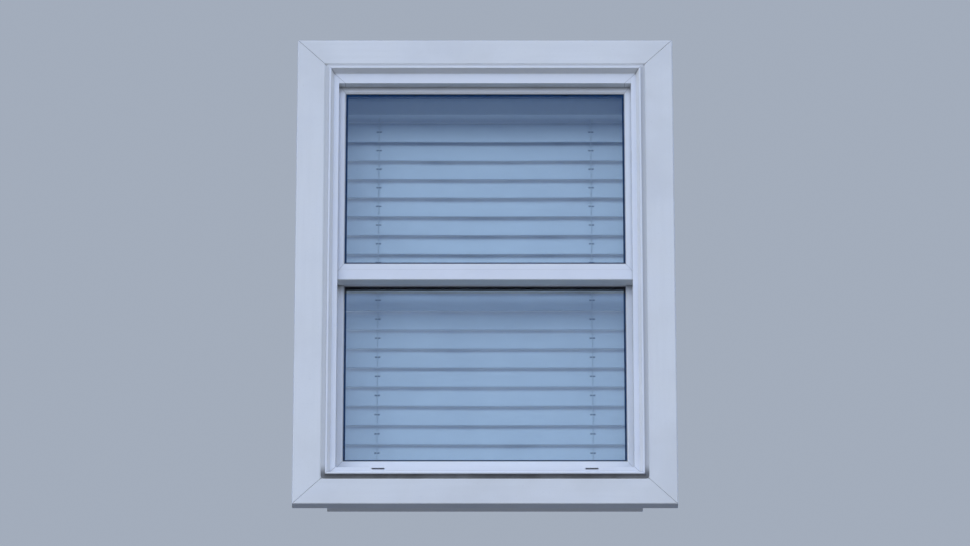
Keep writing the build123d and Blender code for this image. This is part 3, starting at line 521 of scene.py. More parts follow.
def vinyl_material(name, boards, sashes, corners, reach=0.006):
    """Extruded vinyl: satin skin, welded corners, and a little dirt and painted shade in the
    creases.
    """
    material, w, shader, _ = empty_material(name)
    place = w.object_place()
    # The corner soiling darkens creases and recesses: painted shade with some dirt.
    soil_and_shade = w.group(
        soil_and_corner_shade_group(), place=place, clean=colour4(sashes.vinyl_colour),
        soil=colour4(boards.soil_and_shade_colour), soiling=boards.soiling * 0.4,
        corner_soiling=boards.soiling * 1.6, cloud_scale=6.0, speck_scale=260.0,
        corner_reach=reach,
    )
    peel = w.group(
        orange_peel_group(), place=place, pebble_scale=700.0, rub_scale=18.0, smooth=0.30,
        rough=0.42,
    )
    shown = soil_and_shade["Colour"]
    welds = 0.0
    for run, rise, offset, start in corners:
        line = w.group(
            corner_line_group(), place=place, run=run, rise=rise, offset=offset,
            half_width=sashes.weld_width, start=start,
        )
        shown = soiled_line(w, shown, line["Mask"], 0.45, boards.soil_and_shade_colour)
        welds = w.maths("MAXIMUM", welds, line["Mask"])
    height = w.maths("SUBTRACT", w.times(peel["Height"], 0.3), welds)
    w.fill(shader, {
        "Base Color": shown, "Roughness": peel["Roughness"], "IOR": 1.52,
        "Specular IOR Level": 0.75, "Normal": bump(w, height, 0.0002),
    })
    return material


def lining_material(name, boards, squeeze, axis, centre, reach):
    """Lining board: painted on the room side, bare softwood on the face that the wall hides,
    which lies further than reach from the centre along one axis."""
    material, w, shader, _ = empty_material(name)
    place = w.object_place()
    grain = w.group(grain_group(), place=place, squeeze=squeeze, fineness=70.0)
    paint = brush_marks(w, grain, colour4(boards.lining_colour), boards.lining_colour)
    dark = [c * share for c, share in zip(boards.softwood_colour, LATEWOOD)]
    growth = w.ramp(grain["Height"], 0.38, 0.66)
    wood = w.blend(growth, colour4(boards.softwood_colour), colour4(dark))
    off = w.maths("ABSOLUTE", w.maths("SUBTRACT", w.parts(place)[axis], centre))
    bare = w.maths("GREATER_THAN", off, reach)
    w.fill(shader, {
        "Base Color": w.blend(bare, paint, wood),
        "Roughness": w.ramp(bare, 0.0, 1.0, 0.45, 0.78),
        "Specular IOR Level": 0.35, "Normal": bump(w, grain["Height"], 0.0004),
    })
    return material


def sealant_material(name, boards, sill_height):
    """Tooled sealant: slightly lumpy, and darker along the bottom in patches: painted shadow under
    the sill's lip.
    """
    material, w, shader, _ = empty_material(name)
    place = w.object_place()
    # Painted shadow: the bead darkens towards the bottom, where the sill's lip shades it, broken
    # into patches by noise.
    lip_shadow = w.ramp(w.parts(place)[2], sill_height, sill_height + 0.03, 1.0, 0.0)
    cloud = w.ramp(w.noise(place, 14.0, 4.0, 0.6), 0.25, 0.75, 0.80, 1.0)
    dirt = w.times(lip_shadow, cloud)
    w.fill(shader, {
        "Base Color": w.blend(
            dirt, colour4(boards.sealant_colour), colour4(boards.soil_and_shade_colour, 0.65)),
        "Roughness": 0.75, "Normal": bump(w, w.noise(place, 55.0, 3.0), 0.0012),
    })
    return material


def moulded_material(name, colour, smooth, rough, depth=0.0001, coat=0.0):
    """Moulded plastic or sprayed enamel: pebbled skin with faint rubbed patches."""
    material, w, shader, _ = empty_material(name)
    place = w.object_place()
    tone = w.ramp(w.noise(place, 45.0, 3.0), 0.35, 0.7, 0.0, 0.5)
    peel = w.group(
        orange_peel_group(), place=place, pebble_scale=1100.0, rub_scale=60.0, smooth=smooth,
        rough=rough,
    )
    w.fill(shader, {
        "Base Color": w.blend(tone, colour4(colour), colour4(colour, 0.93)),
        "Roughness": peel["Roughness"], "Coat Weight": coat,
        "Normal": bump(w, peel["Height"], depth),
    })
    return material


def metal_material(name, colour, squeeze, smooth, rough):
    """Drawn or rolled metal: fine lines along its length and a dull film in patches."""
    material, w, shader, _ = empty_material(name)
    place = w.object_place()
    lines = w.group(grain_group(), place=place, squeeze=squeeze, fineness=900.0)
    film = w.ramp(w.noise(place, 70.0, 4.0, 0.6), 0.45, 0.75, 0.0, 0.6)
    w.fill(shader, {
        "Base Color": w.blend(film, colour4(colour), colour4(colour, 0.72)),
        "Roughness": w.ramp(lines["Height"], 0.3, 0.7, smooth, rough), "Metallic": 1.0,
        "Normal": bump(w, lines["Height"], 0.00004),
    })
    return material


def pile_material(name, colour):
    """Brush pile and soft seal: dull, with fine upright fibres, darker between them as painted
    shade.
    """
    material, w, shader, _ = empty_material(name)
    squeeze = (1.0, 0.25, 0.12)
    fibres = w.group(grain_group(), place=w.object_place(), squeeze=squeeze, fineness=1600.0)
    # Painted shade between fibres: the low parts of the fibre height are darkened.
    painted_fibre_light = w.ramp(fibres["Height"], 0.35, 0.65)
    w.fill(shader, {
        "Base Color": w.blend(painted_fibre_light, colour4(colour, 0.6), colour4(colour)),
        "Roughness": 0.9, "Sheen Weight": 0.3, "Normal": bump(w, fibres["Height"], 0.0005),
    })
    return material


def glass_material(name, tint, film):
    """Clear pane with a trace of dust. Shadow and bounced light pass it straight."""
    material, w, shader, output = empty_material(name)
    dust = w.noise(w.object_place(), 7.0, 5.0, 0.62)
    w.fill(shader, {
        "Base Color": colour4(tint), "Transmission Weight": 1.0, "IOR": 1.5,
        "Roughness": w.ramp(dust, 0.45, 0.8, 0.0, film),
    })
    clear = w.node("ShaderNodeBsdfTransparent", {"Color": colour4(tint)})
    path = w.node("ShaderNodeLightPath").outputs
    straight = w.maths("MAXIMUM", path["Is Shadow Ray"], path["Is Diffuse Ray"])
    mixed = w.node(
        "ShaderNodeMixShader", {0: straight, 1: shader.outputs[0], 2: clear.outputs[0]})
    w.fill(output, {"Surface": mixed.outputs[0]})
    return material


def slat_material(name, colour, ladder_place, soil):
    """Faux-wood slat: embossed grain along its length, painted shade where slats overlap, and cord
    slots painted dark."""
    material, w, shader, _ = empty_material(name)
    place = w.object_place()
    grain = w.group(grain_group(), place=place, squeeze=(0.06, 1.0, 1.0), fineness=420.0)
    tone = w.ramp(w.noise(place, 9.0, 4.0, 0.6), 0.35, 0.7, 0.0, 0.6)
    shown = w.blend(tone, colour4(colour), colour4(colour, 0.92))
    shown = w.blend(w.times(grain["Streak"], 0.25), shown, colour4(colour, 0.85))
    # Painted shade: the darkening where slats overlap grows stronger towards the upper slats.
    dust = w.ramp(w.parts(place)[2], 0.45, 0.65, 0.44, 0.72)
    soil_and_shade = w.group(
        soil_and_corner_shade_group(), place=place, clean=shown, soil=colour4(soil), soiling=0.05,
        corner_soiling=dust, cloud_scale=5.0, speck_scale=240.0, corner_reach=0.022,
    )
    along, across, _ = w.parts(w.node("ShaderNodeUVMap", uv_map="strip").outputs[0])
    from_ladder = w.maths("SUBTRACT", w.maths("ABSOLUTE", along), ladder_place)
    # Cord slots painted dark: painted shade where the slot would open through the slat.
    slot = w.times(
        w.maths("LESS_THAN", w.maths("ABSOLUTE", from_ladder), CORD_SLOT[0]),
        w.maths("LESS_THAN", w.maths("ABSOLUTE", across), CORD_SLOT[1]),
    )
    w.fill(shader, {
        "Base Color": w.blend(slot, soil_and_shade["Colour"], colour4(LIP_COLOUR)),
        "Roughness": w.ramp(grain["Height"], 0.3, 0.7, 0.34, 0.5),
        "Normal": bump(w, grain["Height"], 0.00025),
    })
    return material


def string_material(name, colour):
    """Braided string: two slanted families of yarns, darker in the grooves between them as painted
    shade.
    """
    material, w, shader, _ = empty_material(name)
    x, y, z = w.parts(w.object_place())
    around = w.times(w.plus(x, y), 2600.0)
    along = w.times(z, 3200.0)
    first = w.maths("SINE", w.plus(along, around))
    second = w.maths("SINE", w.maths("SUBTRACT", along, around))
    height = w.maths("MAXIMUM", first, second)
    # Painted shade: the grooves between yarns are darkened.
    w.fill(shader, {
        "Base Color": w.blend(
            w.ramp(height, -0.2, 0.9), colour4(colour, 0.75), colour4(colour)),
        "Roughness": 0.85, "Normal": bump(w, height, 0.0002),
    })
    return material


def finish_nodes(material, *names):
    """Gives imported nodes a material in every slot."""
    for name in names:
        data = frame["nodes"][name].data
        if not data.materials:
            data.materials.append(material)
        for index in range(len(data.materials)):
            data.materials[index] = material


def ease_edges(names, width, segments=2):
    """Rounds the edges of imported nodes, after joining their loose triangles."""
    for name in names:
        node = frame["nodes"][name]
        weld = node.modifiers.new("joined", "WELD")
        weld.merge_threshold = 0.00001
        bevel = node.modifiers.new("eased", "BEVEL")
        bevel.width = width
        bevel.segments = segments
        bevel.limit_method = "ANGLE"
        bevel.angle_limit = math.radians(30)
        bevel.use_clamp_overlap = True


# Surfaces

def carried_profile(path, across, up, profile):
    """Points of a profile carried along a path: each is the path's point plus the profile's
    first number times the across direction plus its second number times the up direction."""
    return (
        path[:, None, :]
        + profile[None, :, :1] * across[:, None, :]
        + profile[None, :, 1:] * up[:, None, :]
    )


def circle_profile(radius, sides=8):
    """Points round a circle: the radius times the cosine and sine of even shares of a turn."""
    angle = np.linspace(0.0, 2 * np.pi, sides, endpoint=False)
    return radius * np.stack([np.cos(angle), np.sin(angle)], axis=1)


def unit(vectors):
    """Each row divided by its length."""
    return vectors / np.linalg.norm(vectors, axis=1, keepdims=True)


def tube_points(path, radius, sides=8):
    """Round tube: at each point of the path, a circle that stands square to the path there."""
    ahead = unit(np.gradient(path, axis=0))
    guide = np.where(np.abs(ahead[:, :1]) > 0.9, [[0.0, 0.0, 1.0]], [[1.0, 0.0, 0.0]])
    across = unit(np.cross(guide, ahead))
    return carried_profile(path, across, np.cross(ahead, across), circle_profile(radius, sides))


def ring_points(path, profile):
    """Profile carried along a closed path in an upright plane: its first number points into the
    ring, square to the path, and its second along y."""
    ahead = unit(np.roll(path, -1, axis=0) - np.roll(path, 1, axis=0))
    back = np.tile([0.0, 1.0, 0.0], (len(path), 1))
    return carried_profile(path, np.cross(ahead, back), back, profile)


def closed_strip(points, loop=False):
    """Vertices and faces of a tube of points, with its ends closed unless it is a loop. Faces
    are turned outwards, which the sum of their areas times their distances from the middle
    tells."""
    index = np.arange(points.shape[0] * points.shape[1]).reshape(points.shape[:2])
    ahead = np.roll(index, -1, axis=0)
    if not loop:
        index, ahead = index[:-1], ahead[:-1]
    quads = np.stack(
        [index, np.roll(index, -1, axis=1), np.roll(ahead, -1, axis=1), ahead], axis=-1,
    ).reshape(-1, 4)
    faces = quads.tolist()
    if not loop:
        faces += [index[0][::-1].tolist(), ahead[-1].tolist()]
    vertices = points.reshape(-1, 3)
    corner = vertices[quads] - vertices.mean(axis=0)
    facing = np.cross(corner[:, 2] - corner[:, 0], corner[:, 3] - corner[:, 1])
    if np.sum(corner.mean(axis=1) * facing) < 0:
        faces = [face[::-1] for face in faces]
    return vertices, faces


def joined_piece(name, strips, material):
    """One object at the origin from several lots of vertices and faces."""
    vertices, faces, start = [], [], 0
    for points, some in strips:
        vertices.append(points)
        faces += [[start + corner for corner in face] for face in some]
        start += len(points)
    mesh = bpy.data.meshes.new(name)
    mesh.from_pydata(np.concatenate(vertices).tolist(), [], faces)
    mesh.update()
    mesh.shade_smooth()
    mesh.set_sharp_from_angle(angle=math.radians(40))
    mesh.materials.append(material)
    piece = bpy.data.objects.new(name, mesh)
    bpy.context.scene.collection.objects.link(piece)
    return piece


def crowned_slat_profile(width, thickness, crown, steps=12):
    """Slat section: a flat arc, (1 - a squared) times the crown high, where a goes from -1 to 1
    across the slat, with half-round edges."""
    half, radius = width / 2 - thickness / 2, thickness / 2
    across = np.linspace(-half, half, steps)
    arch = crown * (1 - (across / (width / 2)) ** 2)
    turn = np.linspace(np.pi / 2, -np.pi / 2, 6)[1:-1]
    cosine, sine = radius * np.cos(turn), radius * np.sin(turn)
    return np.concatenate([np.stack(side, axis=1) for side in (
        (across, arch + radius), (half + cosine, arch[-1] + sine),
        (across[::-1], arch[::-1] - radius), (-half - cosine, arch[0] - sine),
    )])


def rounded_ring(half_width, bottom, top, radius, y, steps=6):
    """Closed path round an opening: straight runs joined by quarter circles at the corners."""
    right, high, low = half_width - radius, top - radius, bottom + radius
    turn = np.linspace(0.0, np.pi / 2, steps)
    return np.concatenate([
        np.stack([
            x + radius * np.cos(start + turn), np.full(steps, y),
            z + radius * np.sin(start + turn),
        ], axis=1)
        for x, z, start in (
            (right, high, 0.0), (-right, high, np.pi / 2),
            (-right, low, np.pi), (right, low, 3 * np.pi / 2),
        )
    ])


def turned_points(radii, heights, centre, sides=24, flutes=0, depth=0.0):
    """Turned piece about an upright axis: the radius at each height, less depth times how far the
    angle lies from the nearest flute's ridge."""
    angle = np.linspace(0.0, 2 * np.pi, sides, endpoint=False)
    ridge = 1 - depth * (1 - np.abs(np.cos(angle * flutes / 2)))
    radius = radii[:, None] * ridge[None, :]
    return np.stack([
        centre[0] + radius * np.cos(angle), centre[1] + radius * np.sin(angle),
        np.repeat(heights[:, None], sides, axis=1),
    ], axis=-1)


def tooled_bead_profile(reach, steps=7):
    """Bead section over the casing's bevel, closed behind: a concave face from the frame's lip to
    the bevel. The face is a parabola through both ends: y = end line plus hollow 4 s (1 - s)."""
    share = np.linspace(0.0, 1.0, steps)
    bevel = BEVEL_EDGE + BEVEL_SLOPE * reach
    face = FRAME_LIP + (bevel - FRAME_LIP) * share + BEAD_HOLLOW * 4 * share * (1 - share)
    behind = [[-reach, bevel + BEAD_EDGE], [BEAD_TUCK, BEVEL_EDGE + BEAD_TUCK]]
    return np.concatenate([np.stack([-reach * share, face], axis=1), behind])


def mitre_lines():
    """Rise and offset of the lines |x| plus rise times z equals offset, which run in from the
    casing's lower and upper corners."""
    low, high = CAD_BOX
    return (1.0, high.x + low.z), (-1.0, high.x - high.z)


# Operators: one for each piece or group of like pieces

class SASHWINDOW_OT_casing(bpy.types.Operator):
    """Paints the four casing boards and eases their edges"""

    bl_idname = "sash_window.casing"
    bl_label = "Casing boards"

    def execute(self, context):
        boards = context.scene.sash_window_boards
        for name, squeeze, nodes in (
            ("casing_paint_level", LEVEL_GRAIN, ("casing_head", "casing_bottom")),
            ("casing_paint_upright", UPRIGHT_GRAIN, ("casing_left", "casing_right")),
        ):
            paint = board_material(
                name, boards.casing_colour, boards, squeeze, boards.soiling, mitre_lines())
            finish_nodes(paint, *nodes)
            ease_edges(nodes, boards.board_edge, 3)
        return {"FINISHED"}


class SASHWINDOW_OT_sealant(bpy.types.Operator):
    """Lays the bead that closes the joint between casing and frame"""

    bl_idname = "sash_window.sealant"
    bl_label = "Sealant joint"

    def execute(self, context):
        boards = context.scene.sash_window_boards
        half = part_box("casing_right")[0].x
        bottom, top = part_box("casing_bottom")[1].z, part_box("casing_head")[0].z
        path = rounded_ring(half, bottom, top, CORNER_RADIUS, 0.0)
        points = ring_points(path, tooled_bead_profile(boards.sealant_width))
        finish = sealant_material("sealant_with_lip_shadow", boards, bottom)
        bead = joined_piece("sealant_bead", [closed_strip(points, loop=True)], finish)
        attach(bead, "frame")
        return {"FINISHED"}


class SASHWINDOW_OT_lining(bpy.types.Operator):
    """Paints the boards that line the opening to the room, and leaves their backs bare"""

    bl_idname = "sash_window.lining"
    bl_label = "Lining boards"

    def execute(self, context):
        boards = context.scene.sash_window_boards
        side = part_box("liner_right")[1].x
        bottom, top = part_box("liner_sill")[0].z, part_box("liner_head")[1].z
        for name, squeeze, axis, centre, reach, nodes in (
            ("lining_level", LEVEL_GRAIN, 2, bottom, top - bottom, ("liner_head", "liner_sill")),
            ("lining_upright", UPRIGHT_GRAIN, 0, 0.0, side, ("liner_left", "liner_right")),
        ):
            finish = lining_material(name, boards, squeeze, axis, centre, reach - PAINT_STOP)
            finish_nodes(finish, *nodes)
            ease_edges(nodes, boards.board_edge, 3)
        return {"FINISHED"}


class SASHWINDOW_OT_vinyl(bpy.types.Operator):
    """Finishes frame, sashes and glazing beads as welded vinyl"""

    bl_idname = "sash_window.vinyl"
    bl_label = "Frame and sashes"

    def execute(self, context):
        boards, sashes = context.scene.sash_window_boards, context.scene.sash_window_sashes
        corners = [
            (DIAGONAL, rise * DIAGONAL, offset * DIAGONAL, 0.0) for rise, offset in mitre_lines()
        ]
        # The frame's longer reach spreads the painted shade further into its recesses.
        framing = vinyl_material("vinyl_frame", boards, sashes, corners, reach=0.014)
        finish_nodes(framing, *FRAME_MEMBERS)
        ease_edges(FRAME_MEMBERS, sashes.vinyl_edge)
        for sash, rails in SASH_RAILS.items():
            finish = vinyl_material(sash + "_vinyl", boards, sashes, self.sash_corners(sash))
            members = (*rails, sash + "_stile_left", sash + "_stile_right")
            finish_nodes(finish, *members, sash + "_glazing_beads")
            ease_edges(members, sashes.vinyl_edge)
        return {"FINISHED"}

    def sash_corners(self, sash):
        """Lines from a sash's outer corners to its glass corners: run, rise, offset and start, as
        the corner line group reads them."""
        low, high = (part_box(rail) for rail in SASH_RAILS[sash])
        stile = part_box(sash + "_stile_right")
        outer = high[1].x
        inner = outer - (stile[1].x - stile[0].x)
        lines = []
        for edge, glass in ((low[0].z, low[1].z), (high[1].z, high[0].z)):
            run, rise = glass - edge, outer - inner
            length = math.hypot(run, rise)
            offset = (run * outer + rise * edge) / length
            lines.append((run / length, rise / length, offset, inner - WELD_START))
        return lines


class SASHWINDOW_OT_glass(bpy.types.Operator):
    """Makes the panes clear, and adds the spacers' finish and the soft lips round the glass"""

    bl_idname = "sash_window.glass"
    bl_label = "Glass"

    def execute(self, context):
        sashes = context.scene.sash_window_sashes
        clear = glass_material("pane_glass", sashes.glass_tint, 0.03)
        spacer = metal_material(
            "spacer_aluminium", SLOT_COLOURS["spacer_metal"], (0.05, 1.0, 0.05), 0.35, 0.55)
        lip = moulded_material("glazing_lip", LIP_COLOUR, 0.5, 0.65)
        for sash in SASH_RAILS:
            finish_nodes(clear, sash + "_pane_outer", sash + "_pane_inner")
            finish_nodes(spacer, sash + "_spacer")
            self.add_lips(sash, sashes.lip_radius, lip)
        return {"FINISHED"}

    def add_lips(self, sash, radius, material):
        """One lip against each pane's open face, where it meets the sash."""
        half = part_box(sash + "_stile_right")[0].x
        low, high = (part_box(rail) for rail in SASH_RAILS[sash])
        outer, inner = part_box(sash + "_pane_outer"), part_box(sash + "_pane_inner")
        strips = []
        for y in (outer[0].y - radius, inner[1].y + radius):
            path = rounded_ring(half, low[1].z, high[0].z, GLASS_CORNER, y)
            strips.append(closed_strip(ring_points(path, circle_profile(radius)), loop=True))
        piece = joined_piece(sash + "_glazing_lips", strips, material)
        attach(piece, sash + "_sash")


class SASHWINDOW_OT_hardware(bpy.types.Operator):
    """Finishes the lock, latches, balances and seals"""

    bl_idname = "sash_window.hardware"
    bl_label = "Hardware and seals"

    def execute(self, context):
        enamel = moulded_material(
            "lock_enamel", SLOT_COLOURS["lock_paint"], 0.22, 0.36, 0.00008, 0.3)
        finish_nodes(enamel, "lock_housing", "lock_cam", "lock_keeper")
        steel = metal_material(
            "bright_steel", SLOT_COLOURS["steel"], (0.2, 1.0, 1.0), 0.22, 0.42)
        plastic = moulded_material(
            "moulded_plastic", SLOT_COLOURS["moulded_plastic"], 0.32, 0.5)
        finish_nodes(steel, "lock_screws", "strip_anchors", "tilt_rod", "bracket_screws")
        finish_nodes(plastic, "rail_inserts")
        for sash in SASH_RAILS:
            for part in ("_pivot_bars", "_balance_strips", "_balance_coils"):
                finish_nodes(steel, sash + part)
            for part in ("_tilt_latch", "_balance_shoe"):
                finish_nodes(plastic, sash + part + "_left", sash + part + "_right")
        pile = pile_material("seal_pile", SLOT_COLOURS["seal"])
        finish_nodes(pile, "bottom_seal", "meeting_rail_seal")
        ease_edges(("lock_housing", "lock_keeper"), 0.0006)
        return {"FINISHED"}


class SASHWINDOW_OT_blind_fittings(bpy.types.Operator):
    """Finishes the blind's rails, brackets, valance and clips"""

    bl_idname = "sash_window.blind_fittings"
    bl_label = "Blind rails and fittings"

    def execute(self, context):
        blind = context.scene.sash_window_blind
        enamel = moulded_material("rail_enamel", SLOT_COLOURS["enamelled_steel"], 0.3, 0.42)
        finish_nodes(enamel, "blind_head_rail", "blind_brackets")
        wood = board_material(
            "faux_wood", blind.slat_colour, context.scene.sash_window_boards, (0.06, 1.0, 1.0),
            0.05, (), (0.32, 0.46),
        )
        finish_nodes(wood, "blind_valance", "blind_bottom_rail")
        fitting = moulded_material("blind_fitting", SLOT_COLOURS["blind_fitting"], 0.18, 0.3)
        finish_nodes(fitting, "valance_clips", "blind_tilter")
        ease_edges(("blind_valance", "blind_bottom_rail"), 0.0010)
        return {"FINISHED"}


class SASHWINDOW_OT_blind_slats(bpy.types.Operator):
    """Builds crowned slats on their ladders and lift cords"""

    bl_idname = "sash_window.blind_slats"
    bl_label = "Blind slats and ladders"

    def execute(self, context):
        blind = context.scene.sash_window_blind
        low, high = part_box("blind_slats")
        rail_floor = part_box("blind_head_rail")[0].z
        bottom_rail_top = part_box("blind_bottom_rail")[1].z
        centre = (low.y + high.y) / 2
        rise = blind.slat_width / 2 * math.sin(blind.bottom_tilt)
        first = rail_floor - TOP_GAP - rise
        count = int((first - bottom_rail_top - rise - BOTTOM_GAP) / blind.slat_pitch) + 1
        levels = first - blind.slat_pitch * np.arange(count)
        rng = np.random.default_rng(11)
        tilts = np.linspace(blind.top_tilt, blind.bottom_tilt, count)
        tilts += rng.normal(0.0, TILT_SPREAD, count)
        sags = rng.uniform(LEAST_SAG, MOST_SAG, count)
        share = blind.stacked_share
        reach = share * rise + STACK_GAP
        stacked = np.linspace(rail_floor - reach, bottom_rail_top + BLIND_TRAVEL + reach, count)
        finish = slat_material(
            "slat_faux_wood", blind.slat_colour, blind.ladder_place,
            context.scene.sash_window_boards.soil_and_shade_colour,
        )
        for number, z in enumerate(levels):
            slat = self.add_slat(
                "slat_%02d" % (number + 1), blind, high.x, (centre, z), tilts[number],
                sags[number], finish,
            )
            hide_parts("blind_slats")
            self.hang(slat, (stacked[number] - share * z) / (1.0 - share), share)
        strings = self.add_strings(blind, centre, levels, tilts, rail_floor, bottom_rail_top)
        self.hang(strings, rail_floor, 1.0 - BLIND_TRAVEL / (rail_floor - bottom_rail_top))
        return {"FINISHED"}

    def hang(self, piece, height, share):
        """Attaches the piece to the frame's body and gives it a mesh of its own. The height and the
        share are not used."""
        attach(piece, "frame")
        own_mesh(piece)

    def add_slat(self, name, blind, half_length, middle, tilt, sag, finish):
        """One slat as a crowned profile carried along x, sagging between its ladders as a
        cosine. Its own map gives x and the distance across the slat."""
        profile = crowned_slat_profile(blind.slat_width, blind.slat_thickness, blind.slat_crown)
        x = np.linspace(-half_length, half_length, 25)
        droop = 0.5 - 0.5 * np.cos(np.pi * x / blind.ladder_place + np.pi)
        path = np.stack([x, np.full_like(x, middle[0]), middle[1] - sag * droop], axis=1)
        across = np.tile([0.0, math.cos(tilt), math.sin(tilt)], (len(x), 1))
        up = np.tile([0.0, -math.sin(tilt), math.cos(tilt)], (len(x), 1))
        strip = closed_strip(carried_profile(path, across, up, profile))
        slat = joined_piece(name, [strip], finish)
        corner = np.zeros(len(slat.data.loops), np.int32)
        slat.data.loops.foreach_get("vertex_index", corner)
        place = np.stack([strip[0][:, 0], np.tile(profile[:, 0], len(x))], axis=1)[corner]
        layer = slat.data.uv_layers.new(name="strip")
        layer.data.foreach_set("uv", place.astype(np.float32).ravel())
        return slat

    def add_strings(self, blind, centre, levels, tilts, top, bottom):
        """Ladder strings from edge to edge of the slats, lift cords through their middles, and
        two rungs to a slat."""
        half = blind.slat_width / 2
        strips = []
        for side in (-blind.ladder_place, blind.ladder_place):
            for edge in (-1, 0, 1):
                at_edge = levels + edge * half * np.sin(tilts)
                spread = edge * (half * np.cos(tilts) + blind.string_radius)
                below = at_edge < top
                heights = np.concatenate([[top], at_edge[below], [bottom]])
                away = np.concatenate([spread[:1], spread[below], spread[-1:]])
                path = np.stack([np.full_like(heights, side), centre + away, heights], axis=1)
                strips.append(closed_strip(tube_points(path, blind.string_radius)))
            for z, tilt in zip(levels, tilts):
                strips += self.rungs(blind, side, centre, z, tilt)
        finish = string_material("ladder_string", STRING_COLOUR)
        return joined_piece("ladder_strings", strips, finish)

    def rungs(self, blind, x, centre, z, tilt):
        """Two threads under one slat, from its outer edge to its inner one."""
        across = np.array([0.0, math.cos(tilt), math.sin(tilt)])
        under = np.array([0.0, math.sin(tilt), -math.cos(tilt)])
        reach = blind.slat_width / 2 + blind.string_radius
        share = np.linspace(-1.0, 1.0, 5)[:, None]
        drop = blind.slat_thickness / 2 + blind.string_radius * 0.6
        strips = []
        for offset in (-RUNG_PLACE, RUNG_PLACE):
            path = np.array([x + offset, centre, z]) + under * drop + share * reach * across
            strips.append(closed_strip(tube_points(path, blind.string_radius * 0.7, 6)))
        return strips


class SASHWINDOW_OT_blind_wand(bpy.types.Operator):
    """Builds the turned tilt wand with its socket and grip"""

    bl_idname = "sash_window.blind_wand"
    bl_label = "Tilt wand"

    def execute(self, context):
        low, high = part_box("blind_wand")
        centre = ((low.x + high.x) / 2, (low.y + high.y) / 2)
        radius = (high.x - low.x) / 2
        rod_radii = np.full(ROD_RINGS, radius * ROD_RADIUS)
        rod_heights = np.linspace(low.z + ROD_START, high.z - ROD_END, ROD_RINGS)
        turnings = (
            turned_points(radius * GRIP_RADII, low.z + GRIP_HEIGHTS, centre, 30, 10, 0.16),
            turned_points(rod_radii, rod_heights, centre, 24, 6, 0.5),
            turned_points(radius * SOCKET_RADII, high.z - SOCKET_DEPTHS, centre),
        )
        finish = moulded_material(
            "wand_plastic", SLOT_COLOURS["blind_fitting"], 0.12, 0.22, 0.00005, 0.2)
        strips = [closed_strip(points) for points in turnings]
        wand = joined_piece("dressed_wand", strips, finish)
        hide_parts("blind_wand")
        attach(wand, "wand")
        return {"FINISHED"}


